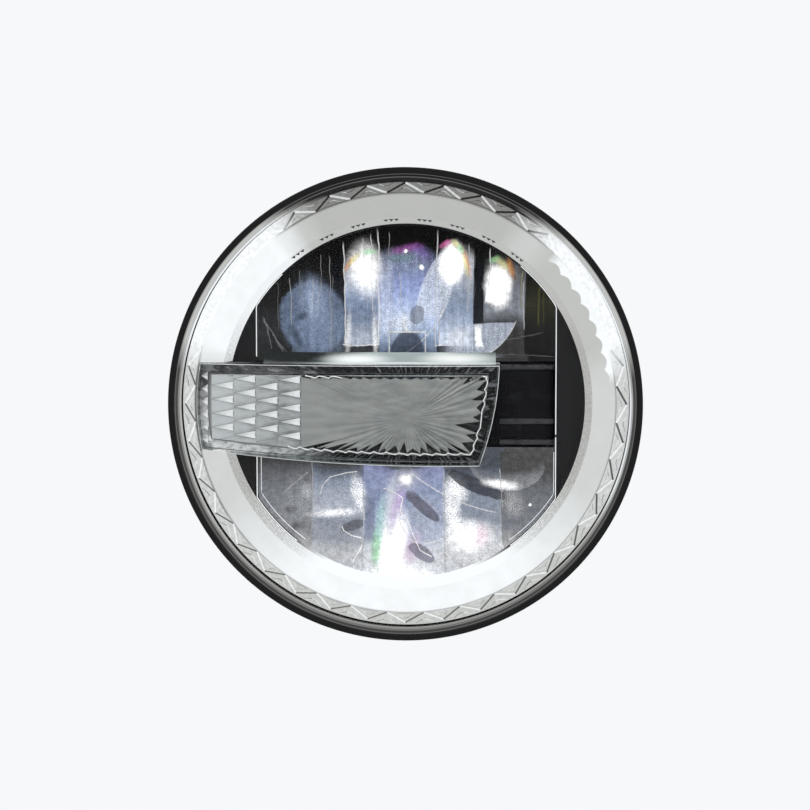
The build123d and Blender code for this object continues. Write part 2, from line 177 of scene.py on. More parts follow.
def placed(piece, slot, *nodes, finish=None, angle=35):
    """Give a finished piece its material and its body, and hide the solids that it stands for. Its slot is not
    used.
    """
    if finish:
        piece.data.materials.clear()
        piece.data.materials.append(finish)
    piece.data.shade_smooth()
    piece.data.set_sharp_from_angle(angle=math.radians(angle))
    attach(piece, "root")
    if nodes:
        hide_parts(*nodes)
    return piece


def dressed(node, name, slot, finish, ease, steps=2, edge=30, angle=35):
    """Eased copy of a solid, put in its place."""
    return placed(eased_copy(node, name, ease, steps, edge), slot, node, finish=finish, angle=angle)


housing_black = solid_finish("housing_black", (0.012, 0.012, 0.013), (0.017, 0.017, 0.018), 0.5, 0.6, 0.25,
                             shine=0.3, drift=0.03)
dressed("rear_housing", "housing_shell", "housing_black", housing_black, 0.6, edge=20)


# Threaded inserts: three hexagonal brass bushes, turned from bar.
# They are pressed into the bosses while hot, and take the mounting bolts.

insert_brass = solid_finish("insert_brass", (0.5, 0.33, 0.12), (0.6, 0.43, 0.18), 0.3, 0.4, 0.3, metal=1.0)
dressed("mount_inserts", "threaded_inserts", "insert_brass", insert_brass, 0.3)


# Heat sink: die-cast aluminium with upright fins, on a rubber gasket in the back of the housing.
# Six pan-head steel screws between the fins hold it down.

bare_aluminium = solid_finish("bare_aluminium", (0.33, 0.335, 0.34), (0.42, 0.425, 0.43), 0.42, 0.6, 0.6,
                              metal=1.0)
dressed("heat_sink", "finned_heat_sink", "bare_aluminium", bare_aluminium, 0.5)
seal_rubber = solid_finish("seal_rubber", (0.012, 0.012, 0.012), (0.02, 0.02, 0.02), 0.75, 0.3, 0.6, shine=0.2)


def painted(finish, *nodes):
    """Give a finish to solids that stay as they are."""
    for node in nodes:
        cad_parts[node].data.materials[0] = finish


painted(seal_rubber, "heat_sink_gasket")
screw_steel = solid_finish("screw_steel", (0.42, 0.42, 0.43), (0.55, 0.55, 0.56), 0.28, 0.3, 0.3, metal=1.0)
screw_head, screw_dome, screw_socket, screw_sides = 2.5, 1.9, 1.3, 24
screw_rings = [(screw_head, 0), (screw_head, 0.9), (screw_head - 0.3, 1.4), (screw_head - 0.8, screw_dome),
               (screw_socket, screw_dome), (screw_socket, 0.7), (0, 0.5)]
sink_face = -8.0
screw_places = [(x, sink_face, z) for x in (-20.9, 20.9) for z in (-37, 37)]
screw_places += [(x, sink_face, 0) for x in (-37.6, 37.6)]


def about_axis(radius, turn, y):
    """Point at a radius and a turn about the lamp's axis."""
    return radius * math.cos(turn), y, radius * math.sin(turn)


def skin_mesh(name, *skins, looped=False):
    """Closed skins over rows of points in millimetres, capped at both ends or looped into a ring."""
    shape = bmesh.new()
    for points in skins:
        rows = [[shape.verts.new([part * MM for part in point]) for point in row] for row in points]
        for a, b in zip(rows, rows[1:] + rows[:1] if looped else rows[1:]):
            for i in range(len(a)):
                j = (i + 1) % len(a)
                shape.faces.new((a[i], a[j], b[j], b[i]))
        if not looped:
            shape.faces.new(rows[0])
            shape.faces.new(rows[-1])
    bmesh.ops.remove_doubles(shape, verts=shape.verts, dist=0.5 * weld_reach)
    bmesh.ops.recalc_face_normals(shape, faces=shape.faces)
    return as_mesh(name, shape)


def screw_mesh():
    """Pan head with a six-sided socket, its foot on y = 0 and its crown toward +Y."""
    rows = []
    for radius, y in screw_rings:
        row = []
        for i in range(screw_sides):
            turn, sixth = 2 * math.pi * i / screw_sides, math.pi / 6
            flat = math.cos(sixth) / math.cos((turn + sixth) % (2 * sixth) - sixth)
            row.append(about_axis(radius * flat if radius == screw_socket else radius, turn, y))
        rows.append(row)
    return skin_mesh("screw", rows)


def repeat_tree(name, finish):
    """Tree that sets one copy of a shape on every point of its mesh, then joins them as plain faces."""
    tree = bpy.data.node_groups.new(name, "GeometryNodeTree")
    for label, way, kind in (("Places", "INPUT", "Geometry"), ("Shape", "INPUT", "Object"),
                             ("Turn step", "INPUT", "Float"), ("Repeats", "OUTPUT", "Geometry")):
        tree.interface.new_socket(label, in_out=way, socket_type="NodeSocket" + kind)
    given, result = tree.nodes.new("NodeGroupInput").outputs, tree.nodes.new("NodeGroupOutput")
    shape = add(tree, "GeometryNodeObjectInfo", given["Shape"]).outputs["Geometry"]
    turn = maths(tree, "MULTIPLY", add(tree, "GeometryNodeInputIndex").outputs[0], given["Turn step"])
    spin = add(tree, "ShaderNodeCombineXYZ", None, turn).outputs[0]
    copies = add(tree, "GeometryNodeInstanceOnPoints", given["Places"], None, shape, None, None, spin)
    whole = add(tree, "GeometryNodeRealizeInstances", copies.outputs[0])
    coated = add(tree, "GeometryNodeSetMaterial", whole.outputs[0], None, finish)
    tree.links.new(coated.outputs[0], result.inputs[0])
    return tree


def repeated(name, unit, places, finish, turn_step=0.0):
    """Plain mesh of one shape repeated at places, each copy turned a step further about the axis."""
    points = bpy.data.meshes.new(name)
    points.from_pydata([[part * MM for part in place] for place in places], [], [])
    piece = linked(name, points)
    shape = linked(name + "_unit", unit)
    tree = repeat_tree(name + "_repeat", finish)
    repeat = piece.modifiers.new("repeat", "NODES")
    repeat.node_group = tree
    names = {item.name: item.identifier for item in tree.interface.items_tree if item.in_out == "INPUT"}
    repeat[names["Shape"]] = shape
    repeat[names["Turn step"]] = turn_step
    settled(piece)
    bpy.data.objects.remove(shape)
    return piece


placed(repeated("heat_sink_screws", screw_mesh(), screw_places, screw_steel), "bare_aluminium",
       finish=screw_steel)


# Connector socket: moulded shroud of black plastic with four tinned brass blades.
# It is clamped on a rubber seal in the lower part of the back wall.

socket_black = solid_finish("socket_black", (0.010, 0.010, 0.011), (0.016, 0.016, 0.017), 0.45, 0.35, 0.4,
                            shine=0.35)
pin_metal = solid_finish("pin_metal", (0.62, 0.6, 0.55), (0.7, 0.69, 0.66), 0.25, 0.3, 0.2, metal=1.0)
dressed("connector_socket", "socket_shroud", "socket_black", socket_black, 0.3)
dressed("connector_pins", "socket_blades", "pin_metal", pin_metal, 0.12)
painted(seal_rubber, "connector_seal")


# Breather: six-sided cap of grey moulded plastic, snapped on the back wall.
# A membrane under it lets air through but keeps water out.

vent_grey = solid_finish("vent_grey", (0.10, 0.10, 0.105), (0.13, 0.13, 0.135), 0.6, 0.3, 0.4, shine=0.3)
dressed("breather_vent", "breather_cap", "vent_grey", vent_grey, 0.35)


# Light engine: bent aluminium bracket with a board of three light sources above and one below,
# and the driver board on four posts behind it.

board_white = solid_finish("board_white", (0.62, 0.63, 0.62), (0.7, 0.71, 0.7), 0.4, 0.4, 0.2, shine=0.4)
board_green = solid_finish("board_green", (0.012, 0.06, 0.03), (0.018, 0.085, 0.042), 0.35, 0.4, 0.2, shine=0.4)
coil_grey = solid_finish("coil_grey", (0.06, 0.06, 0.065), (0.09, 0.09, 0.095), 0.55, 0.3, 0.5, shine=0.3)
dressed("led_bracket", "light_bracket", "bare_aluminium", bare_aluminium, 0.4)
painted(board_white, "low_beam_board", "high_beam_board", "halo_board", "bar_board")
painted(board_green, "driver_board")
painted(coil_grey, "driver_coils", "driver_capacitor")
painted(bare_aluminium, "driver_standoffs")


def lit_finish(name, warm, cool, strength):
    """Lit face with a soft mottle, as on the phosphor of a light source. Thin bright edges use it as a painted
    highlight.
    """
    material, tree, place = new_finish(name)
    glow = tinted(tree, speckle(tree, place, 0.5), warm, cool)
    coat(tree, colour=glow, light=glow, strength=strength, rough=0.5)
    return material


light_source = lit_finish("light_source", (0.9, 0.88, 0.7), (0.95, 0.97, 1.0), 1.0)
painted(light_source, "low_beam_leds", "high_beam_leds", "halo_leds", "bar_leds")


# Mirrors: two half-bowls of moulded plastic with vacuum-plated facets, above and below the divider.
# Each upright facet throws back its own slice of the studio and of the lit sources. This is painted reflection:
# the plating glows with painted dark bands, pale blue columns and bright spots with coloured fringes.

view_rise, view_side, view_front = 0.0875, 0.035, -77.0


def times(tree, a, b):
    """Product of two values."""
    return maths(tree, "MULTIPLY", a, b)


def outside(tree, share):
    """What a share leaves of one."""
    return maths(tree, "SUBTRACT", 1.0, share)


def vectors(tree, operation, *values):
    """Result of one operation on places or colours: a number if it is a length."""
    kind = "Value" if operation == "LENGTH" else "Vector"
    return add(tree, "ShaderNodeVectorMath", *values, operation=operation).outputs[kind]


def parted(tree, place):
    """The three parts of a place."""
    return add(tree, "ShaderNodeSeparateXYZ", place).outputs


def face_on(tree, place):
    """Place on a mirror carried forward along the line of sight to the rim, in millimetres."""
    x, y, z = [times(tree, part, 1 / MM) for part in parted(tree, place)]
    deep = maths(tree, "SUBTRACT", y, view_front)
    across = maths(tree, "MULTIPLY_ADD", deep, view_side, x)
    up = maths(tree, "MULTIPLY_ADD", deep, view_rise, z)
    return add(tree, "ShaderNodeCombineXYZ", across, up).outputs[0]


def patch_group(name, boxed):
    """Group that gives 1 inside a turned oval or box and 0 outside, with a soft edge."""
    group = bpy.data.node_groups.new(name, "ShaderNodeTree")
    for label, kind in (("Place", "Vector"), ("Centre", "Vector"), ("Half size", "Vector"),
                        ("Turn", "Float"), ("Softness", "Float")):
        group.interface.new_socket(label, in_out="INPUT", socket_type="NodeSocket" + kind)
    group.interface.new_socket("Share", in_out="OUTPUT", socket_type="NodeSocketFloat")
    given, result = group.nodes.new("NodeGroupInput").outputs, group.nodes.new("NodeGroupOutput")
    spun = add(group, "ShaderNodeVectorRotate", rotation_type="Z_AXIS")
    back = times(group, given["Turn"], -1.0)
    for label, value in (("Vector", given["Place"]), ("Center", given["Centre"]), ("Angle", back)):
        fill(group, spun.inputs[label], value)
    off = vectors(group, "SUBTRACT", spun.outputs[0], given["Centre"])
    unit = vectors(group, "DIVIDE", off, given["Half size"])
    if boxed:
        x, y, _ = parted(group, vectors(group, "ABSOLUTE", unit))
        far = maths(group, "MAXIMUM", x, y)
    else:
        far = vectors(group, "LENGTH", unit)
    outer = maths(group, "ADD", 1.0, given["Softness"])
    inner = maths(group, "SUBTRACT", 1.0, given["Softness"])
    share = add(group, "ShaderNodeMapRange", far, outer, inner, 0.0, 1.0, interpolation_type="SMOOTHSTEP")
    group.links.new(share.outputs[0], result.inputs[0])
    return group


oval, box = patch_group("oval_patch", False), patch_group("box_patch", True)


def patch(tree, place, group, centre, half, turn=0, soft=0.05):
    """How far a place lies in an oval or a box that is turned by degrees, from 0 to 1."""
    made = tree.nodes.new("ShaderNodeGroup")
    made.node_tree = group
    for label, value in (("Place", place), ("Centre", (*centre, 0)), ("Half size", (*half, 1)),
                         ("Turn", math.radians(turn)), ("Softness", soft)):
        fill(tree, made.inputs[label], value)
    return made.outputs[0]


def tone(light):
    """Colour of a light that is given as a level, as a level and the share it is cooled by, or as a colour."""
    if isinstance(light, tuple) and len(light) == 3:
        return light
    level, blue = light if isinstance(light, tuple) else (light, 0.0)
    return level * (1 - blue), level * (1 - 0.57 * blue), level * (1 + 0.3 * blue)


def facet_light(tree, x, z, left, right, arch, stops):
    """Light down one facet: lights at heights in millimetres, arched toward its two sides."""
    middle, half = (left + right) / 2, (right - left) / 2
    side = maths(tree, "DIVIDE", maths(tree, "SUBTRACT", x, middle), half)
    bent = maths(tree, "MULTIPLY_ADD", times(tree, side, side), arch, z)
    low, high = stops[0][0], stops[-1][0]
    ramp = add(tree, "ShaderNodeValToRGB", ramped(tree, bent, low, high, 0, 1))
    marks = ramp.color_ramp.elements
    while len(marks) < len(stops):
        marks.new(0.5)
    for mark, (height, light) in zip(marks, stops):
        mark.position = (height - low) / (high - low)
        mark.color = (*tone(light), 1)
    return ramp.outputs[0]


def painted_reflection_finish(name, facets, patches, creases, streaky):
    """Dark plating with painted reflections: painted light down each facet, with painted highlight patches and
    bright creases laid over it.

    A facet has its sides, its arch and its lights. A patch has its light, strength and grain, then its shape,
    centre, half size, turn, softness and cuts. A crease has its place, foot, head, half width and light.
    """
    material, tree, place = new_finish(name)
    true_place = face_on(tree, place)
    drift = noise(tree, true_place, 0.12, 2.0, kind="Color")
    shake = noise(tree, true_place, 0.9, 2.0, kind="Color")
    seen = true_place
    for wobble, reach in ((drift, 2.0), (shake, 0.9)):
        off = vectors(tree, "SUBTRACT", wobble, (0.5, 0.5, 0.5))
        seen = vectors(tree, "ADD", seen, vectors(tree, "SCALE", off, None, None, reach))
        if wobble == drift:
            bent_place = seen
    streak_place = add(tree, "ShaderNodeMapping", true_place, None, None, (1.0, 0.05, 1.0)).outputs[0]
    streak = noise(tree, streak_place, 0.5, 5.0, 0.7)
    fleck = noise(tree, true_place, 2.2, 3.0, 0.7)
    mottle = noise(tree, true_place, 0.45, 4.0, 0.65, 2.0, 1.2)
    x, z, _ = parted(tree, seen)
    light = (0.006, 0.007, 0.008)
    for left, right, arch, stops in facets:
        column = facet_light(tree, x, z, left, right, arch, stops)
        inside = patch(tree, true_place, box, ((left + right) / 2, 0), ((right - left) / 2, 90), 0, 0.03)
        light = tinted(tree, inside, light, column)
    for glow, strength, grain, shape, centre, half, turn, soft, *cuts in patches:
        share = patch(tree, seen if soft > 0.05 else true_place, shape, centre, half, turn, soft)
        for cut_shape, keep, cut_centre, cut_half, cut_soft in cuts:
            cut = patch(tree, true_place, cut_shape, cut_centre, cut_half, 0, cut_soft)
            share = times(tree, share, cut if keep else outside(tree, cut))
        share = times(tree, share, ramped(tree, fleck, 0.35, 0.65, strength * (1 - grain), strength))
        light = tinted(tree, share, light, tone(glow))
    streaks = ramped(tree, streak, 0.25, 0.75, 1 - streaky, 1 + 0.7 * streaky)
    flecks, clouds = ramped(tree, fleck, 0.3, 0.7, 0.64, 1.3), ramped(tree, mottle, 0.3, 0.7, 0.72, 1.25)
    depth = times(tree, streaks, times(tree, flecks, clouds))
    light = vectors(tree, "SCALE", light, None, None, depth)
    for at, foot, head, width, glow in creases:
        line = patch(tree, bent_place, box, (at, (foot + head) / 2), (width, (head - foot) / 2), 0, 0.08)
        light = tinted(tree, times(tree, line, ramped(tree, fleck, 0.3, 0.6, 0.4, 1.0)), light, tone(glow))
    coat(tree, light=light, colour=(0.006, 0.0065, 0.007), metal=1.0, tint=(0.04, 0.04, 0.045),
         rough=ramped(tree, streak, 0.3, 0.7, 0.06, 0.16))
    return material


# Colours of the painted reflections and highlights in the mirrors.
hot, white, orange, yellow = (1.8, 1.8, 1.8), (1.0, 1.0, 1.0), (0.75, 0.3, 0.08), (0.9, 0.85, 0.4)
green, magenta, smoke, navy = (0.35, 0.75, 0.4), (0.42, 0.1, 0.42), (0.14, 0.145, 0.17), (0.012, 0.015, 0.03)


def stroke(level, width, *points):
    """Painted highlight patches for one bright line through points."""
    made = []
    for (ax, az), (bx, bz) in zip(points, points[1:]):
        length, turn = math.hypot(bx - ax, bz - az), math.degrees(math.atan2(bz - az, bx - ax))
        made.append((level, 0.95, 0.35, box, ((ax + bx) / 2, (az + bz) / 2),
                     (length / 2 + 0.1, width), turn, 0.05))
    return made


# Painted reflections on the low-beam mirror above the divider: light down each facet, patches and bright
# creases.
low_facets = [
    (-62, -44.3, 0, [(17, 0.02), (30, (0.04, 0.1)), (40, 0.02), (55, 0.008)]),
    (-44.3, -28.4, 2, [(17, (0.06, 0.3)), (24, (0.09, 0.3)), (46, (0.03, 0.2)), (52, 0.014), (60, 0.007)]),
    (-28.4, -23.6, 2, [(17, (0.05, 0.3)), (30, (0.14, 0.3)), (40, (0.05, 0.3)), (50, (0.014, 0.2)),
     (60, 0.007)]),
    (-23.6, -10.6, 2.4, [(20, (0.5, 0.2)), (27, (0.6, 0.2)), (33, (0.34, 0.35)), (38, (0.34, 0.4)),
     (44, (0.5, 0.35)), (49, (0.6, 0.2)), (55, (0.4, 0.1)), (58.5, 0.1), (61.5, 0.012), (65, 0.006)]),
    (-10.6, 13.3, 3, [(20, (0.05, 0.3)), (28, (0.45, 0.4)), (33, (0.7, 0.35)), (39, (0.46, 0.57, 0.88)),
     (45, (0.36, 0.44, 0.74)), (51, (0.26, 0.31, 0.55)), (56, (0.14, 0.155, 0.28)),
     (60, (0.04, 0.045, 0.08)), (62.5, 0.008), (65, 0.005)]),
    (13.3, 26.8, 2.4, [(20, (0.6, 0.2)), (25, (0.95, 0.2)), (32, (0.66, 0.28)), (38, (0.42, 0.35)),
     (44, (0.42, 0.3)), (48, (0.5, 0.2)), (58, (0.5, 0.1)), (61, 0.12), (63, 0.012), (65, 0.006)]),
    (26.8, 30.8, 2, [(17, 0.04), (26, (0.1, 0.2)), (32, (0.03, 0.2)), (46, (0.014, 0.2)), (60, 0.006)]),
    (30.8, 46.9, 1.5, [(17, 0.04), (29, 0.05), (33, (0.08, 0.1)), (38, (0.3, 0.15)), (46, (0.22, 0.15)),
     (53, 0.1), (58, 0.014), (62, 0.007)]),
    (46.9, 62, 0, [(17, 0.01), (30, 0.02), (40, (0.036, 0.036, 0.024)), (50, 0.01)]),
]
low_painted_patches = [
    (0.015, 0.98, 0.1, box, (-17.1, 20), (6.9, 3.6), 0, 0.03),
    (0.015, 0.98, 0.1, box, (19.4, 20), (6.9, 3.4), 0, 0.03),
    (0.85, 0.95, 0.2, box, (-17.1, 23.8), (7.2, 0.2), 2, 0.1),
    (0.8, 0.9, 0.3, box, (18.6, 23.6), (6.8, 0.18), -1, 0.1),
    ((0.26, 0.42), 0.97, 0.3, oval, (-36.1, 34), (12.8, 14.6), 14, 0.08),
    ((0.6, 0.35), 0.9, 0.6, oval, (-35.6, 40.4), (4.6, 8), 10, 0.7),
    ((0.42, 0.4), 0.85, 0.7, oval, (-34, 29), (9, 7), 0, 0.8),
    ((0.5, 0.1), 0.7, 0.8, box, (-36.2, 42), (0.4, 6.5), -4, 0.4),
    ((0.5, 0.1), 0.7, 0.8, box, (-33.6, 43), (0.3, 5.5), -8, 0.4),
    (navy, 0.8, 0.5, oval, (-40.6, 35), (2.4, 1.2), 30, 0.6),
    (navy, 0.7, 0.5, oval, (-42.6, 27), (1.6, 5), 25, 0.6),
    (0.25, 0.9, 0.6, box, (-51.4, 27), (0.2, 6.8), 30, 0.1),
    (0.22, 0.9, 0.6, box, (-53.6, 28), (0.18, 6), 12, 0.1),
    (0.2, 0.9, 0.6, box, (-49.2, 24), (0.18, 5), 40, 0.1),
    (hot, 0.95, 0.2, oval, (-15.2, 52.6), (4.8, 7.0), 4, 0.85),
    (white, 0.8, 0.4, oval, (-22.4, 28), (0.9, 7), -3, 0.9),
    (white, 0.8, 0.4, oval, (-11.6, 27.6), (0.9, 7), 3, 0.9),
    (orange, 0.75, 0.4, oval, (-21.6, 54.6), (3.0, 0.8), 58, 0.7),
    (yellow, 0.85, 0.4, oval, (-19.6, 56.4), (2.6, 0.8), 46, 0.7),
    (green, 0.8, 0.4, oval, (-14, 59), (2.6, 1.0), 10, 0.7),
    ((0.7, 0.2), 0.95, 1.0, box, (-7.6, 43), (2.8, 14), 0, 0.35),
    ((0.95, 0.15), 0.8, 1.0, oval, (-2, 33.4), (6.6, 6), 0, 0.9),
    (white, 0.7, 1.0, oval, (-1, 32.4), (3, 2.4), 0, 0.9),
    (magenta, 0.85, 0.5, oval, (0.6, 60.2), (4.6, 1.5), 10, 0.8),
    ((0.2, 0.11, 0.42), 0.85, 0.5, oval, (6, 58.6), (3.6, 2.2), -24, 0.8),
    ((0.12, 0.3, 0.26), 0.75, 0.7, oval, (-0.6, 57.4), (4.4, 1.6), 8, 0.8),
    ((0.5, 0.3), 0.85, 1.0, oval, (1.6, 55), (8, 4), 0, 0.9),
    (hot, 1.0, 0.0, oval, (6.4, 53.6), (0.75, 0.75), 0, 0.9),
    (hot, 1.0, 0.0, oval, (0.3, 59.6), (0.55, 0.55), 0, 0.9),
    ((0.85, 0.16), 1.0, 0.7, oval, (43.9, 33.4), (39.8, 39.8), 0, 0.008,
     (oval, True, (-21.2, 55.1), (40.8, 40.8), 0.008), (box, True, (12, 46), (12, 12), 0.25)),
    ((0.16, 0.2), 0.8, 0.5, oval, (4.6, 35.6), (3.0, 4.2), -16, 0.06),
    (0.9, 0.8, 0.3, oval, (3.4, 33.4), (4.2, 5.2), -16, 0.03, (oval, False, (3.9, 33.9), (4.2, 5.2), 0.03)),
    (0.75, 0.8, 0.2, oval, (-21.2, 55.1), (40.8, 40.8), 0, 0.004,
     (oval, False, (-21.2, 55.1), (40.4, 40.4), 0.004), (box, True, (7, 32), (9, 12), 0.1)),
    (hot, 1.0, 0.1, oval, (18.3, 55), (4.8, 6.8), -8, 0.4),
    (orange, 0.85, 0.4, oval, (24.2, 55.4), (0.8, 4.6), 14, 0.7),
    (yellow, 0.85, 0.4, oval, (23.2, 55.4), (0.8, 4.4), 14, 0.7),
    ((0.8, 0.2, 0.5), 0.85, 0.4, oval, (15.4, 62), (2.2, 1.0), 20, 0.7),
    (yellow, 0.85, 0.4, oval, (19.6, 62), (1.8, 1.0), -30, 0.7),
    (green, 0.8, 0.4, oval, (21.6, 60.4), (1.6, 1.0), -40, 0.7),
    (hot, 0.9, 0.4, oval, (21.4, 26.4), (3.6, 3.4), 0, 0.7),
    (hot, 1.0, 0.3, oval, (36.4, 46.6), (4.8, 7.4), 6, 0.4),
    (hot, 1.0, 0.1, box, (34.7, 46.4), (2.2, 6.0), -10, 0.2),
    (yellow, 0.8, 0.5, oval, (37.6, 54.4), (3.2, 1.2), -30, 0.8),
    (orange, 0.75, 0.5, oval, (41, 53), (1.0, 3.2), 20, 0.8),
    (green, 0.6, 0.5, oval, (34.4, 56), (1.8, 1.0), 20, 0.8),
    ((0.25, 0.1), 0.8, 0.6, box, (43.6, 46), (0.5, 7), 4, 0.5),
    ((0.66, 0.2), 0.97, 0.5, oval, (19.4, 42.2), (25.9, 25.9), 0, 0.01,
     (oval, True, (38, -60), (92.5, 92.5), 0.003), (box, True, (34, 24), (17, 14), 0.2)),
    (hot, 0.95, 0.4, box, (29, 27), (1.2, 3.4), 4, 0.6),
    (0.55, 0.9, 0.2, oval, (19.4, 42.2), (25.9, 25.9), 0, 0.006,
     (oval, False, (19.4, 42.2), (25.5, 25.5), 0.006), (box, True, (34, 24), (12, 9), 0.1)),
    ((0.07, 0.4), 0.9, 0.2, oval, (0.9, 23), (6.2, 6.0), 0, 0.08),
    ((0.14, 0.4), 0.8, 0.3, oval, (0.9, 26.4), (4.4, 2.2), 0, 0.5),
    (0.75, 1.0, 0.1, box, (0.9, 23), (7.3, 6.2), 0, 0.03, (box, False, (0.9, 22.8), (6.95, 5.85), 0.03)),
    (0.14, 0.9, 0.4, box, (50, 19.4), (11, 0.16), -3, 0.1),
    (0.14, 0.9, 0.4, box, (46.6, 27), (7, 0.14), 12, 0.1),
]
low_crease_highlights = [
    (-58, 20, 42, 0.15, 0.3), (-49.6, 30, 48, 0.12, 0.14), (-44.6, 32, 49, 0.16, 0.35),
    (-41, 42, 52, 0.12, 0.2), (-32.4, 50, 58, 0.12, 0.25), (-29.2, 22, 57, 0.14, 0.3),
    (-28.2, 24, 50, 0.1, 0.2), (-23.6, 24, 62, 0.24, 0.7), (-16, 57, 64, 0.14, 0.5),
    (-12.9, 37, 65, 0.16, 0.6), (-10.3, 24, 66, 0.24, 0.75), (-6.2, 57, 66, 0.14, 0.3),
    (-2, 40, 52, 0.16, 0.5), (12.2, 24, 66, 0.22, 0.6), (13.6, 24, 34, 0.16, 0.5), (24.8, 36, 62, 0.2, 0.4),
    (27, 40, 58, 0.12, 0.14), (32.8, 42, 60, 0.2, 0.6), (46.4, 30, 48, 0.2, 0.45),
    (45.6, 38, 52, 0.14, (0.3, 0.28, 0.12)), (52, 31, 46, 0.3, (0.08, 0.08, 0.035)),
    (54, 32, 44, 0.25, (0.06, 0.055, 0.025)),
]
# Painted reflections on the high-beam mirror below the divider: light down each facet, patches and bright
# creases.
high_facets = [
    (-62, -36.4, 0, [(-62, 0.75), (-55, 0.5), (-50, (0.28, 0.06)), (-40, (0.27, 0.1)), (-30, (0.19, 0.12)),
     (-22, 0.06)]),
    (-36.4, -16.4, -2, [(-66, (0.65, 0.06)), (-58, (0.6, 0.06)), (-53, (0.4, 0.15)), (-46, (0.36, 0.2)),
     (-42, (0.6, 0.15)), (-38, (0.46, 0.25)), (-31, (0.32, 0.3)), (-26, (0.12, 0.2)), (-24, 0.06)]),
    (-16.4, 15.6, -4, [(-66, (0.75, 0.05)), (-58, (0.75, 0.1)), (-53, (0.47, 0.53, 0.72)),
     (-46, (0.32, 0.38, 0.55)), (-38, (0.28, 0.33, 0.5)), (-31, (0.3, 0.34, 0.52)),
     (-26.5, (0.24, 0.26, 0.42)), (-25.2, (0.12, 0.2)), (-20, 0.03)]),
    (15.6, 38, -2, [(-66, (0.65, 0.05)), (-57, (0.75, 0.05)), (-51, (0.52, 0.12)), (-45, (0.36, 0.22)),
     (-38, (0.36, 0.25)), (-31, (0.22, 0.3)), (-25, (0.1, 0.2))]),
    (38, 62, 0, [(-62, 0.8), (-54, 0.45), (-48, (0.25, 0.12)), (-34, (0.19, 0.12)), (-26, 0.08)]),
]
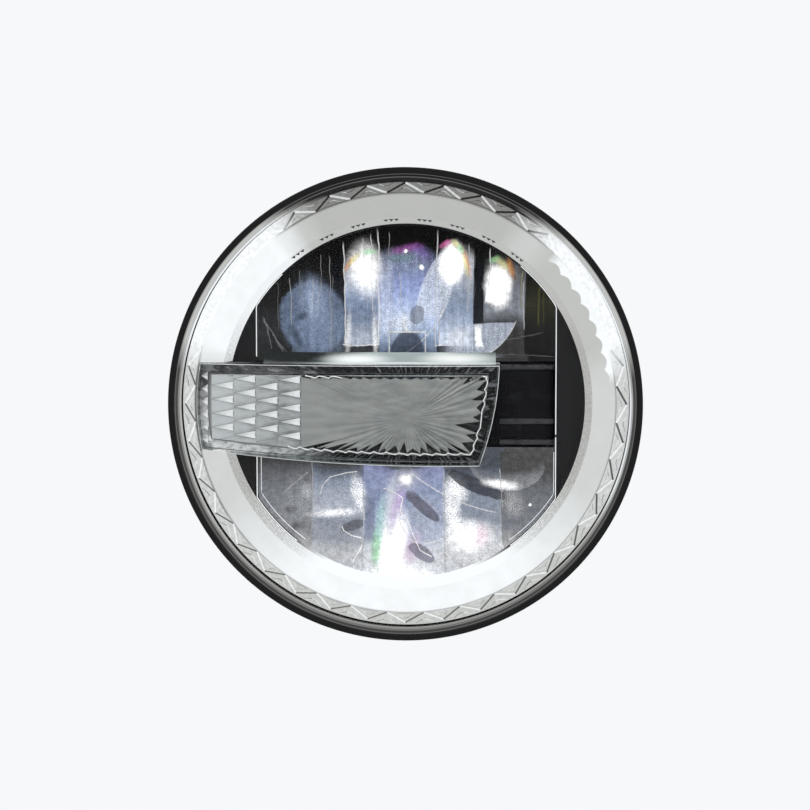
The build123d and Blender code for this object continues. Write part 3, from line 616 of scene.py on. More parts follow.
high_painted_patches = [
    (0.45, 0.9, 0.3, box, (-43, -30.6), (6, 0.16), 40, 0.05),
    ((0.4, 0.1), 0.8, 1.0, oval, (-40, -38), (6, 9), 0, 0.8),
    ((0.7, 0.05), 0.8, 0.9, oval, (-39, -34), (1.6, 3), 0, 0.7),
    (0.03, 0.7, 0.6, oval, (-42, -47.6), (2.4, 1.6), 10, 0.6),
    (0.03, 0.6, 0.6, oval, (-45, -41), (2, 1.4), 0, 0.6),
    *stroke(0.75, 0.2, (-33.4, -35.2), (-32.6, -32), (-31.2, -30.3), (-29.5, -28.6), (-23.4, -27),
     (-19, -26.4)),
    ((0.6, 0.1), 0.8, 1.0, oval, (-26, -37), (9, 6), 0, 0.8),
    (hot, 0.8, 1.0, oval, (-18, -35), (2.2, 6), 14, 0.7),
    (hot, 0.75, 0.9, oval, (-28, -42.6), (8, 1.3), 4, 0.7),
    (smoke, 0.97, 0.15, oval, (-20.4, -47.4), (4.8, 1.9), 16, 0.05,
     (box, True, (-22, -47), (5.6, 6), 0.05)),
    *stroke(0.95, 0.22, (-24.7, -47.9), (-24, -49.4), (-20.7, -51.3), (-16.2, -52.3), (-16.8, -55.1),
     (-20.7, -61.7)),
    *stroke(0.95, 0.25, (-21.4, -33), (-20.1, -36.3), (-16.8, -39.1), (-16.1, -41.5), (-15.9, -45.2)),
    ((0.15, 0.17, 0.24), 0.75, 0.5, box, (-14, -45), (2.2, 9), 0, 0.3),
    (hot, 1.0, 0.2, oval, (-4.6, -55), (5.2, 13), -8, 0.4),
    ((0.75, 0.1), 0.9, 0.2, oval, (-5.4, -42), (3.2, 11), -4, 0.5),
    (green, 0.8, 0.15, oval, (-11, -56), (1.8, 7), -4, 0.8),
    ((0.5, 0.75, 0.75), 0.7, 0.1, oval, (-9.4, -44), (1.6, 7), -6, 0.8),
    ((0.62, 0.45, 0.8), 0.7, 0.1, oval, (-3, -40), (2.0, 7), -14, 0.8),
    ((0.7, 0.5, 0.7), 0.7, 0.2, oval, (2.6, -56), (2.6, 6), -20, 0.8),
    ((0.55, 0.1), 0.85, 1.0, oval, (8, -45), (8, 9), 0, 0.8),
    ((0.15, 0.15, 0.2), 0.97, 0.15, oval, (7.4, -40.6), (7.8, 2.2), -40, 0.05),
    ((0.15, 0.15, 0.2), 0.85, 0.15, oval, (3.4, -36.6), (3.4, 2.4), -30, 0.2),
    (0.75, 0.85, 0.3, oval, (14, -40), (17.4, 17.4), 0, 0.012,
     (oval, False, (14.3, -39.8), (17.2, 17.2), 0.012), (box, True, (2, -50), (6.5, 9), 0.1)),
    ((0.24, 0.23, 0.3), 0.95, 0.15, oval, (6.6, -58), (5.6, 2.4), -32, 0.06),
    *stroke(0.95, 0.2, (-8.5, -33), (-4.6, -34.4), (-0.8, -36.9), (-1.4, -39.4), (-1.9, -41.9),
     (0.9, -45.2), (3.2, -51), (5.9, -56.8), (10.3, -59)),
    *stroke(0.8, 0.18, (7.5, -54.4), (12, -53.4), (16.3, -51.8)),
    *stroke(0.6, 0.16, (37.3, -25.3), (38.2, -31.9), (38.4, -39.7)),
    (hot, 1.0, 0.0, oval, (0.4, -29.6), (2.1, 1.8), 0, 0.7),
    (0.7, 0.7, 0.4, oval, (0.4, -29.6), (4.4, 3.4), 0, 0.9),
    (hot, 0.95, 0.9, oval, (20.4, -33), (3.2, 4.4), 30, 0.8),
    (hot, 0.85, 0.9, oval, (18.6, -42), (2.6, 8), 10, 0.8),
    (hot, 0.95, 0.5, oval, (25, -51), (7, 4.6), 0, 0.8),
    ((0.85, 0.55, 0.7), 0.6, 0.2, oval, (30, -51), (2.5, 3.5), 0, 0.8),
    ((0.055, 0.057, 0.07), 0.95, 0.2, oval, (28, -31.6), (13, 2.8), -25, 0.06),
    (0.8, 0.9, 0.3, oval, (48.4, 29.4), (72.9, 72.9), 0, 0.003,
     (oval, False, (48.4, 29.4), (72.5, 72.5), 0.003), (box, True, (19, -35), (16.5, 9), 0.1)),
    ((0.3, 0.08), 0.97, 0.3, oval, (40, -22.5), (15, 11), -8, 0.02,
     (oval, False, (40, -18.6), (19, 9.6), 0.25)),
    (hot, 0.8, 0.4, oval, (38, -31.2), (5.6, 1.5), -6, 0.8),
    (hot, 0.9, 0.2, oval, (49, -39), (0.5, 0.5), 0, 0.8),
    (0.6, 0.8, 1.0, oval, (42.4, -38.6), (3.4, 4.4), 30, 0.8),
    ((0.62, 0.68, 0.75), 0.9, 0.4, oval, (-4, -73), (54, 11), 0, 0.3),
    (hot, 0.7, 0.3, oval, (-2, -67), (13, 5), 0, 0.6),
]
high_crease_highlights = [
    (-36.6, -60, -22, 0.16, 0.4), (-16.4, -56, -32, 0.2, 0.5), (15.4, -62, -26, 0.18, 0.5),
    (37.6, -48, -26, 0.16, 0.35),
]
# Both mirrors' plating glows with painted reflections over a dark metal.
low_painted_reflection = painted_reflection_finish("low_beam_painted_reflection", low_facets, low_painted_patches, low_crease_highlights, 0.35)
high_painted_reflection = painted_reflection_finish("high_beam_painted_reflection", high_facets, high_painted_patches, high_crease_highlights, 0.15)
dressed("low_beam_reflector", "upper_mirror", "mirror_bright", low_painted_reflection, 0.25, angle=25)
dressed("high_beam_reflector", "lower_mirror", "mirror_bright", high_painted_reflection, 0.25, angle=25)


# Divider mask: gloss black moulding that covers the light engine between the mirrors.
# It is clipped to the bezel, and has three fine ribs on its right-hand end.

mask_black = solid_finish("mask_black", (0.004, 0.004, 0.006), (0.007, 0.007, 0.009), 0.25, 0.4, 0.2,
                          shine=0.06)
rib_grey = solid_finish("rib_grey", (0.02, 0.02, 0.022), (0.05, 0.05, 0.055), 0.3, 0.4, 0.2, shine=0.3)
rib_height = 0.9
divider = dressed("divider_mask", "divider_cover", "bezel_black", mask_black, 0.35)
# The front faces of the ribs take a lighter grey with more shine, a painted highlight on the gloss black.
divider.data.materials.append(rib_grey)
rib_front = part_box("divider_mask")[0].y
for side in divider.data.polygons:
    if side.center.y < rib_front + rib_height * MM:
        side.material_index = 1


# Bezel: black moulded plate round the mirror window, glossy, held in the housing under the halo.
# Where the mirrors meet it, the window has a thin plated lip, drawn as a glowing strip that is a painted
# highlight.

def shade(level):
    """Linear tone of a display level up to 255: a little green where it is dim, bluer as it brightens."""
    strength, cool = (level / 255) ** 2.2, min(1, max(0, (level - 190) / 35))
    return strength * (0.985 - 0.02 * cool), strength, strength * (0.96 + 0.06 * cool)


def around_axis(tree, place):
    """Radius in millimetres, and turn about the optical axis in degrees from the right-hand side."""
    x, _, z = parted(tree, place)
    length = vectors(tree, "LENGTH", add(tree, "ShaderNodeCombineXYZ", x, 0.0, z).outputs[0])
    turn = maths(tree, "ARCTAN2", z, x)
    return times(tree, length, 1 / MM), times(tree, turn, 180 / math.pi)


def spot(tree, degrees, centre, half, soft):
    """1 within an angle of one place round the axis, easing to 0 beyond it."""
    off = maths(tree, "WRAP", maths(tree, "SUBTRACT", degrees, centre), 180.0, -180.0)
    return ramped(tree, maths(tree, "ABSOLUTE", off), half + soft, half, 0, 1)


def ring_light(tree, degrees, light, top, right, left, low):
    """Light fed into a ring: dim over the top, strong at two places beside it and strongest low down."""
    for level, centre, half, soft in ((top, 88, 27, 9), (right, 31, 14, 10),
                                      (left, 146, 17, 8), (low, 272, 33, 30)):
        light = tinted(tree, spot(tree, degrees, centre, half, soft), light, shade(level))
    return light


def bezel_finish(name):
    """Gloss black, washed white along the bottom by the halo."""
    material, tree, place = new_finish(name)
    _, degrees = around_axis(tree, place)
    grain = speckle(tree, place, 0.4, 4.0)
    coat(tree, colour=tinted(tree, grain, (0.011, 0.011, 0.012), (0.015, 0.015, 0.016)), shine=0.12,
         light=tinted(tree, spot(tree, degrees, 268, 24, 14), (0, 0, 0), shade(252)),
         rough=ramped(tree, grain, 0.3, 0.7, 0.25, 0.36))
    return material


dressed("inner_bezel", "window_bezel", "bezel_black", bezel_finish("bezel_black"), 0.3)
lip_bright = lit_finish("lip_bright", (0.5, 0.52, 0.52), (0.8, 0.82, 0.82), 0.8)
window_radius, window_half, bezel_front = 67.2, 56.5, -65.6


def window_path(inset, start, end, count=60):
    """Points on the window's outline between two angles in degrees."""
    radius, half = window_radius - inset, window_half - inset
    path = []
    for i in range(count + 1):
        turn = math.radians(start + (end - start) * i / count)
        x, z = radius * math.cos(turn), radius * math.sin(turn)
        if abs(x) > half:
            x, z = math.copysign(half, x), half * abs(math.tan(turn)) * math.copysign(1, z)
        path.append((x, z))
    return path


def strip_mesh(name, path, width, depth, front):
    """Thin raised strip along a path in x and z, closed all round. Its front may change with x."""
    rows = []
    for i, (x, z) in enumerate(path):
        ahead, behind = path[min(i + 1, len(path) - 1)], path[max(i - 1, 0)]
        way = Vector((ahead[0] - behind[0], ahead[1] - behind[1])).normalized()
        side = Vector((-way.y, way.x)) * width / 2
        y = front(x)
        rows.append([(x + side.x, y + depth, z + side.y), (x + side.x, y, z + side.y),
                     (x - side.x, y, z - side.y), (x - side.x, y + depth, z - side.y)])
    return skin_mesh(name, rows)


lip_width, lip_inset, lip_depth, lip_front = 0.3, -0.3, 0.5, bezel_front - 0.25
ridge_inset, ridge_depth, ridge_front = 0.1, 0.4, -52.6
# The lip strips and the mirrors' ridge strips glow as painted highlights.
for name, start, end in (
        ("window_lip_right", -12, 50), ("window_lip_left", 134, 163),
        ("window_lip_low_left", 198, 232), ("window_lip_low_right", 306, 347),
        ("mirror_ridge_left", 200, 234), ("mirror_ridge_right", 306, 342)):
    inset, depth, front = lip_inset, lip_depth, lip_front
    if name.startswith("mirror_ridge"):
        inset, depth, front = ridge_inset, ridge_depth, ridge_front
    strip = strip_mesh(name, window_path(inset, start, end), lip_width, depth, lambda x: front)
    placed(linked(name, strip), "mirror_bright", finish=lip_bright)


# Bar: a bright-plated tray with a sloping ledge above, five light sources on a strip board,
# a pleated starburst plate, a plate of wedge prisms and a thick clear cap over all of them.
# All are moulded plastic, and the cap snaps over the edge of the tray.

def tray_painted_reflection_finish(name):
    """Bright plating of the tray, drawn as painted reflection, with painted highlights along the ledge from two
    sources.
    """
    material, tree, place = new_finish(name)
    seen = face_on(tree, place)
    cloud = noise(tree, seen, 0.5, 2.0)
    light = tinted(tree, cloud, (0.05, 0.06, 0.058), (0.16, 0.18, 0.18))
    for glow, centre, half, soft in (
            ((0.02, 0.024, 0.025), (-44, 17), (16, 5), 0.25), ((0.36, 0.42, 0.42), (5, 17), (34, 4), 0.25),
            ((0.95, 1.0, 1.0), (-18, 17.3), (9, 1.6), 0.8), ((0.9, 0.95, 0.93), (19, 17.6), (10, 1.6), 0.8),
            ((0.7, 0.75, 0.74), (2, 15.9), (33, 0.35), 0.5)):
        light = tinted(tree, patch(tree, seen, oval, centre, half, 0, soft), light, glow)
    coat(tree, light=light, colour=(0.1, 0.105, 0.105), metal=1.0,
         rough=ramped(tree, cloud, 0.3, 0.7, 0.1, 0.25))
    return material


dressed("bar_housing", "bar_tray", "bar_bright", tray_painted_reflection_finish("bar_bright"), 0.25)

star_centre = (1.0, -5.0)
# The star plate is made dark: painted shade in the gaps between the rays.
star_painted_shade = solid_finish("star_painted_shade", (0.012, 0.013, 0.013), (0.03, 0.032, 0.032), 0.25, 0.6, 0.2, shine=0.3)
dome_radius, dome_centre, bar_depth = 260.2, 169.4, 5.6


def arc_through(a, b, c, count):
    """Points on the circle through three places, from the first to the last."""
    (ax, ay), (bx, by), (cx, cy) = a, b, c
    twice = 2 * (ax * (by - cy) + bx * (cy - ay) + cx * (ay - by))
    squares = [x * x + y * y for x, y in (a, b, c)]
    ox = (squares[0] * (by - cy) + squares[1] * (cy - ay) + squares[2] * (ay - by)) / twice
    oy = (squares[0] * (cx - bx) + squares[1] * (ax - cx) + squares[2] * (bx - ax)) / twice
    first, last = math.atan2(ay - oy, ax - ox), math.atan2(cy - oy, cx - ox)
    sweep = (last - first + math.pi) % (2 * math.pi) - math.pi
    radius = math.hypot(ax - ox, ay - oy)
    turns = [first + sweep * i / count for i in range(count)]
    return [(ox + radius * math.cos(turn), oy + radius * math.sin(turn)) for turn in turns]


bar_left_top, bar_right_top = (-77.53, 15.2), (35.5, 15.2)
bar_left_low, bar_right_low = (-77.04, -17.5), (28.0, -22.4)
bar_top_steps = 90
bar_outline = [(bar_left_top[0] + (bar_right_top[0] - bar_left_top[0]) * i / bar_top_steps, bar_left_top[1])
               for i in range(bar_top_steps)]
bar_outline += arc_through(bar_right_top, (34.0, 0.0), bar_right_low, 36)
bar_outline += arc_through(bar_right_low, (-22.0, -21.6), bar_left_low, 90)
bar_outline += arc_through(bar_left_low, (-79.0, 0.0), bar_left_top, 30)


def inset_outline(inset):
    """The bar's outline moved inward, without the points that a corner leaves nearer the edge."""
    moved = []
    for i, here in enumerate(bar_outline):
        before, after = Vector(bar_outline[i - 1]), Vector(bar_outline[(i + 1) % len(bar_outline)])
        a, b = (Vector(here) - before).normalized(), (after - Vector(here)).normalized()
        inward = Vector((a.y + b.y, -a.x - b.x)).normalized()
        place = Vector(here) + inward * inset / max(inward.dot(Vector((a.y, -a.x))), 0.5)
        if min(math.dist(place, edge) for edge in bar_outline) > 0.98 * inset:
            moved.append(tuple(place))
    return moved


def behind_bar(x, depth):
    """Station on the upright curve of the bar's front, a depth behind it."""
    return dome_centre - math.sqrt((dome_radius - bar_depth - depth) ** 2 - x * x)


star_rays, ray_inset, ray_left, ray_right, ray_sway = 48, 4.7, -39.0, 24.0, 0.35
ray_top, ray_valley, ray_foot, ray_least_bite, ray_bite = 3.3, 4.1, 6.4, 0.045, 0.3


def point_along(path, share):
    """Point a share of the way along a closed path."""
    sides = list(zip(path, path[1:] + path[:1]))
    lengths = [math.dist(a, b) for a, b in sides]
    left = share % 1 * sum(lengths)
    for (a, b), length in zip(sides, lengths):
        if left <= length:
            return tuple(Vector(a).lerp(Vector(b), left / length))
        left -= length
    return path[0]


def ray_mesh(name):
    """Star of long pleated rays: tips near the edge of the bar, valleys between them, and a flat foot."""
    shape = bmesh.new()

    def corner(place, depth):
        return shape.verts.new((place.x * MM, behind_bar(place.x, depth) * MM, place.y * MM))

    rim = []
    for x, z in inset_outline(ray_inset):
        if not rim or (max(x, ray_left), z) != rim[-1]:
            rim.append((max(x, ray_left), z))
    middle = Vector(star_centre)
    crown, foot = [], []
    for i in range(2 * star_rays):
        valley = i % 2 == 1
        sway = 0.0 if valley else ray_sway * math.sin(4.7 * i)
        place = Vector(point_along(rim, (i + sway) / (2 * star_rays)))
        low_side = 0.5 - 0.5 * math.copysign(1, place.y - middle.y)
        if valley and place.x >= ray_left + 0.1:
            right_side = 0.45 if place.x > ray_right else 0.0
            bite = ray_bite * max(low_side, right_side) * (0.6 + 0.4 * math.sin(7.3 * i))
            place = place.lerp(middle, ray_least_bite + bite)
        fall = (ray_valley - ray_top) * (0.3 + 0.7 * max(low_side, place.x > 18))
        valley_depth = ray_top + fall * min(1.0, max(0.12, (place.x + 26) / 42))
        crown.append(corner(place, valley_depth if valley else ray_top))
        foot.append(corner(place, ray_foot))
    hub, base = corner(middle, ray_top), corner(middle, ray_foot)
    for i in range(len(crown)):
        j = (i + 1) % len(crown)
        shape.faces.new((hub, crown[i], crown[j]))
        shape.faces.new((base, foot[j], foot[i]))
        shape.faces.new((crown[i], foot[i], foot[j], crown[j]))
    bmesh.ops.recalc_face_normals(shape, faces=shape.faces)
    return as_mesh(name, shape)


def about_star(tree, place):
    """Place from the star's centre: across and up in millimetres, and the turn about it in radians."""
    x, _, z = [times(tree, part, 1 / MM) for part in parted(tree, place)]
    across = maths(tree, "SUBTRACT", x, star_centre[0])
    up = maths(tree, "SUBTRACT", z, star_centre[1])
    return across, up, maths(tree, "ARCTAN2", up, across)


def star_finish(name):
    """Satin clear plastic: fine rays below the star's centre, cloudy streaks above it and to the left. The
    rays' light and dark are painted shade of the pleats.
    """
    material, tree, place = new_finish(name)
    across, up, turn = about_star(tree, place)
    ray = ramped(tree, maths(tree, "SINE", times(tree, turn, 56.0)), -1, 1, 0, 1)
    cloud = speckle(tree, place, 9)
    stretched = add(tree, "ShaderNodeMapping", place, None, None, (0.3, 1.0, 1.0)).outputs[0]
    flow = noise(tree, stretched, 380.0, 4.0, 0.6)
    colour = tinted(tree, ray, (0.2, 0.21, 0.206), (0.37, 0.38, 0.37))
    for value, low, high, start, end, over in (
            (up, -3, 5, 0.1, 0.85, (0.31, 0.32, 0.312)), (flow, 0.5, 0.7, 0, 0.8, (0.43, 0.44, 0.425)),
            (flow, 0.5, 0.3, 0, 0.8, (0.2, 0.212, 0.205)), (cloud, 0.45, 0.7, 0, 0.5, (0.4, 0.405, 0.39)),
            (across, -6, -36, 0, 0.5, (0.42, 0.43, 0.418))):
        colour = tinted(tree, ramped(tree, value, low, high, start, end), colour, over)
    coat(tree, colour=colour, rough=ramped(tree, ray, 0, 1, 0.3, 0.5), shine=0.3)
    return material


dressed("star_optic", "star_plate", "star_frost", star_painted_shade, 0.08, 1, 8, angle=4)
placed(linked("star_rays", ray_mesh("star_rays")), "star_frost", finish=star_finish("star_frost"), angle=1)

# A glowing light grey: a painted highlight on the cap's jagged edges and its sloping front edge.
edge_bright = lit_finish("edge_bright", (0.4, 0.41, 0.4), (0.8, 0.81, 0.81), 0.75)
jag_inset, jag_width, jag_reach, jag_front, jag_depth, jag_run = 4.4, 0.32, 1.1, 2.65, 0.5, 4


def jag_mesh(name, kept):
    """Thin stepped strip just inside the cap, along the part of the bar's outline that is kept."""
    inner = [place for place in inset_outline(jag_inset) if kept(*place)]
    path = []
    for i, (x, z) in enumerate(inner[:-1]):
        way = (Vector(inner[i + 1]) - Vector((x, z))).normalized()
        jump = jag_reach * ((i % jag_run) / (jag_run - 1) - 0.5) * (0.7 + 0.3 * math.sin(2.9 * i))
        path.append((x + way.y * jump, z - way.x * jump))
    return strip_mesh(name, path, jag_width, jag_depth, lambda x: behind_bar(x, jag_front))


for name, kept in (("bar_jagged_edge", lambda x, z: x > 29 or (z < -8 and x > -46)),
                   ("bar_jagged_top", lambda x, z: z > 5 and -38 < x < -22)):
    placed(linked(name, jag_mesh(name, kept)), "bar_clear", finish=edge_bright)

prism_right, prism_pitch, prism_first_row, prism_row_pitch = -39.0, 8.6, -11.7, 5.275


def prism_finish(name):
    """Clear prisms in painted light and shade: a plate of faint three-cornered facets with a painted shadow
    under each wedge, and wedges whose painted light brightens toward the blunt end.
    """
    material, tree, place = new_finish(name)
    x, _, z = [times(tree, part, 1 / MM) for part in parted(tree, place)]
    columns = times(tree, maths(tree, "SUBTRACT", prism_right, x), 1 / prism_pitch)
    column = maths(tree, "FLOOR", columns)
    run = outside(tree, maths(tree, "FRACT", columns))
    rows = maths(tree, "MULTIPLY_ADD", z, 1 / prism_row_pitch, 0.5 - prism_first_row / prism_row_pitch)
    rows = maths(tree, "MULTIPLY_ADD", column, -0.5, rows)
    off_row = maths(tree, "ABSOLUTE", maths(tree, "SUBTRACT", maths(tree, "FRACT", rows), 0.5))
    facet = maths(tree, "MULTIPLY_ADD", run, -0.3, off_row)
    facing = parted(tree, add(tree, "ShaderNodeNewGeometry").outputs["Normal"])[2]
    flank = ramped(tree, maths(tree, "ABSOLUTE", facing), 0.1, 0.3, 0, 1)
    # Painted light: the wedges brighten toward the blunt end.
    bright = ramped(tree, run, 0.0, 0.8, 0.3, 1)
    wedge = tinted(tree, bright, (0.35, 0.37, 0.365), (1.0, 1.0, 1.0))
    stretched = add(tree, "ShaderNodeMapping", place, None, None, (0.4, 1.0, 1.0)).outputs[0]
    cloud = noise(tree, stretched, 420.0, 4.0)
    flat = tinted(tree, ramped(tree, cloud, 0.35, 0.65, 0, 1), (0.26, 0.275, 0.27), (0.5, 0.52, 0.515))
    flat = tinted(tree, ramped(tree, facet, 0.19, 0.22, 0, 0.45), flat, (0.6, 0.62, 0.62))
    flat = tinted(tree, ramped(tree, x, -46, -74, 0, 0.7), flat, (0.85, 0.88, 0.89))
    # Painted shadow: a thin dark line under each wedge.
    under = times(tree, ramped(tree, facet, -0.01, 0.01, 0, 0.5), ramped(tree, facet, 0.06, 0.04, 0, 1))
    flat = tinted(tree, under, flat, (0.12, 0.125, 0.13))
    # Painted light that lifts the lower flank of each wedge.
    shaded_side = times(tree, times(tree, flank, bright), ramped(tree, facing, 0.1, -0.1, 0, 1))
    coat(tree, colour=tinted(tree, flank, flat, wedge), shine=0.3,
         light=tinted(tree, shaded_side, (0, 0, 0), (0.34, 0.35, 0.36)),
         rough=ramped(tree, cloud, 0.3, 0.7, 0.2, 0.4))
    return material


prism_clear = prism_finish("prism_clear")
dressed("prism_optic", "wedge_prisms", "prism_clear", prism_clear, 0.05, 1, angle=10)

end_wedge_run, end_wedge_half, end_wedge_crest = 2.4, 1.6, 1.0
end_wedge_places = [(-75.1, -69.1, 10.2 - 4.8 * i) for i in range(6)]


def end_wedge_mesh():
    """Short wedge with its point to the left and its blunt end at the origin."""
    half = end_wedge_half
    corners = [(-end_wedge_run, 0, 0), (0, 0, -half), (0, 0, half), (0, -end_wedge_crest, 0)]
    mesh = bpy.data.meshes.new("end_wedge")
    mesh.from_pydata([[part * MM for part in corner] for corner in corners], [],
                     [(0, 1, 2), (0, 3, 1), (0, 2, 3), (1, 3, 2)])
    return mesh


end_wedges = repeated("end_wedges", end_wedge_mesh(), end_wedge_places, prism_clear)
placed(end_wedges, "prism_clear", finish=prism_clear, angle=10)


def shone(tree, share, below, above):
    """Send a mix of two shaders to the surface."""
    mixed = add(tree, "ShaderNodeMixShader", share, below, above)
    tree.links.new(mixed.outputs[0], tree.nodes["Material Output"].inputs["Surface"])


def clear_finish(name, bend, tint):
    """Clear moulded plastic: seen through face on, with a gloss that grows toward the edges."""
    material, tree, place = new_finish(name)
    gloss = coat(tree, colour=(0.9, 0.92, 0.92), metal=1.0,
                 rough=ramped(tree, speckle(tree, place, 20), 0.3, 0.7, 0.02, 0.05))
    through = add(tree, "ShaderNodeBsdfTransparent", tint).outputs[0]
    shone(tree, add(tree, "ShaderNodeFresnel", bend).outputs[0], through, gloss)
    return material


def border_finish(name):
    """Edge of the cap seen on end, in painted light and shade: dark, with painted glints in line with the
    star's rays, clearing toward the left.
    """
    material, tree, place = new_finish(name)
    across, up, turn = about_star(tree, place)
    reach = vectors(tree, "LENGTH", add(tree, "ShaderNodeCombineXYZ", across, up).outputs[0])
    ray_place = add(tree, "ShaderNodeCombineXYZ", times(tree, turn, 26.0), times(tree, reach, 0.16)).outputs[0]
    glint = noise(tree, ray_place, 1.0, 3.0, 0.6)
    dark = tinted(tree, ramped(tree, glint, 0.54, 0.64, 0, 1), (0.006, 0.0065, 0.007), (0.22, 0.225, 0.235))
    light = tinted(tree, ramped(tree, glint, 0.4, 0.58, 0, 1), (0.34, 0.36, 0.37), (1.0, 1.0, 1.0))
    clear = times(tree, ramped(tree, across, -27, -53, 0, 1), ramped(tree, up, 16, -3, 0.12, 1.0))
    coat(tree, colour=tinted(tree, clear, dark, light), shine=0.15,
         rough=ramped(tree, glint, 0.3, 0.7, 0.2, 0.4))
    return material


bar_clear = clear_finish("bar_clear", 1.12, (0.98, 0.985, 0.985))
bar_cap = dressed("bar_lens", "bar_cap", "bar_clear", bar_clear, 0.4, 3)
for finish in (border_finish("bar_border"), edge_bright):
    bar_cap.data.materials.append(finish)
cap_back = max(corner.co.y for corner in bar_cap.data.vertices)
# The back rim takes the border finish, and the sloping front edge the painted highlight.
for side in bar_cap.data.polygons:
    is_back_rim = side.normal.y > 0.9 and side.center.y > cap_back - 0.5 * MM
    is_front_edge = -0.85 < side.normal.y < -0.3
    side.material_index = 1 if is_back_rim else 2 if is_front_edge else 0


# Halo light guide: a C-shaped ring of clear moulded plastic, lit from behind, with squared ends at the bar.
# A flange round it, inside the skirt of the lens, carries a zig-zag of prisms.
# The sloping inner wall has a fine stipple and, over the top, small dark notches.

halo_section = [(79.4, -65.8), (79.4, -73.9), (79.1, -74.2), (70.8, -73.05), (70.3, -72.7), (67.8, -65.8)]
notch_top, notch_bottom, halo_steps = 15.6, -17.9, 240


def halo_mesh(name):
    """Ring swept round the axis, its two ends cut level above and below the bar."""
    rows = []
    for step in range(halo_steps + 1):
        row = []
        for radius, y in halo_section:
            low = -math.pi - math.asin(notch_bottom / radius)
            high = math.pi - math.asin(notch_top / radius)
            row.append(about_axis(radius, low + (high - low) * step / halo_steps, y))
        rows.append(row)
    return skin_mesh(name, rows)


def halo_finish(name):
    """Milky lit plastic: grey-green where the guide is dim, white where it is brightly fed."""
    material, tree, place = new_finish(name)
    radius, degrees = around_axis(tree, place)
    cloud = speckle(tree, place, 6, 3.0)
    light = ring_light(tree, degrees, shade(209), 183, 190, 251, 251)
    lobe = maths(tree, "ABSOLUTE", maths(tree, "SINE", times(tree, degrees, math.radians(36))))
    edge = maths(tree, "MULTIPLY_ADD", lobe, -1.4, radius)
    fed = times(tree, ramped(tree, edge, 75.8, 76.1, 0, 1), spot(tree, degrees, 26, 17, 3))
    light = tinted(tree, fed, light, shade(253))
    light = tinted(tree, ramped(tree, cloud, 0.3, 0.7, 0, 0.12), light, (0.35, 0.38, 0.35))
    dots = add(tree, "ShaderNodeTexVoronoi", place, None, 1100.0).outputs[0]
    wall = ring_light(tree, degrees, shade(192), 184, 182, 240, 252)
    stipple = ramped(tree, dots, 0.25, 0.55, 0, 0.4)
    for gap in ((90, 60, 20), (272, 30, 15)):
        stipple = times(tree, stipple, outside(tree, spot(tree, degrees, *gap)))
    wall = tinted(tree, stipple, wall, (0.2, 0.2, 0.2))
    light = tinted(tree, ramped(tree, radius, 70.5, 70.2, 0, 1), light, wall)
    # Painted shade: a darker line along the halo's outer edge, left out at the two lit places.
    rim_line = ramped(tree, radius, 78.7, 79.1, 0, 0.55)
    for gap in ((31, 16, 8), (146, 18, 6)):
        rim_line = times(tree, rim_line, outside(tree, spot(tree, degrees, *gap)))
    light = tinted(tree, rim_line, light, shade(95))
    coat(tree, light=light, colour=(0.03, 0.03, 0.03), rough=ramped(tree, dots, 0.1, 0.6, 0.3, 0.5), shine=0.1)
    return material


halo_ring = linked("halo_ring", halo_mesh("halo_ring"))
placed(halo_ring, "halo_white", "halo_light_guide", finish=halo_finish("halo_white"))

tooth_count, tooth_tip, tooth_root, tooth_bore, flank_run = 36, 83.7, 80.1, 79.0, 0.85
tooth_top, flange_face, flange_back, flange_radius, flange_ease = -73.2, -71.8, -70.8, 84.2, 0.2
step_rise, step_run = 0.35, 0.22
step_on_tooth = [(79.7, -0.5), (79.7, 0.5), (81.3, 0.12), (81.3, -0.12)]
step_in_gap = [(83.7, 0.5), (83.7, 1.5), (82.3, 1.12), (82.3, 0.88)]


def tooth_mesh():
    """One prism of the zig-zag about its tip, with a low step on it and another in the gap beside it."""
    shape = bmesh.new()

    def corner(radius, turn, y):
        return shape.verts.new([part * MM for part in about_axis(radius, turn, y)])

    half = math.pi / tooth_count
    turns, crown = (-half, 0.0, half), (tooth_root, tooth_tip, tooth_root)
    bore = [corner(tooth_bore, turn, tooth_top) for turn in turns]
    edge = [corner(radius - flank_run, turn, tooth_top) for radius, turn in zip(crown, turns)]
    foot = [corner(radius, turn, flange_face) for radius, turn in zip(crown, turns)]
    for i in range(2):
        shape.faces.new((bore[i], bore[i + 1], edge[i + 1], edge[i]))
        shape.faces.new((edge[i], edge[i + 1], foot[i + 1], foot[i]))
    for step, level in ((step_on_tooth, tooth_top), (step_in_gap, flange_face)):
        outline = [(radius, share * half) for radius, share in step]
        middle = Vector((sum(r for r, _ in outline) / 4, sum(a for _, a in outline) / 4))
        lower = [corner(r, a, level) for r, a in outline]
        upper = []
        for r, a in outline:
            pull = Vector((middle.x - r, (middle.y - a) * r)).normalized() * step_run
            upper.append(corner(r + pull.x, a + pull.y / r, level - step_rise))
        shape.faces.new(upper)
        for i in range(4):
            j = (i + 1) % 4
            shape.faces.new((lower[i], lower[j], upper[j], upper[i]))
    shape.normal_update()
    for side in shape.faces:
        if side.normal.y > 0:
            side.normal_flip()
    return as_mesh("tooth", shape)


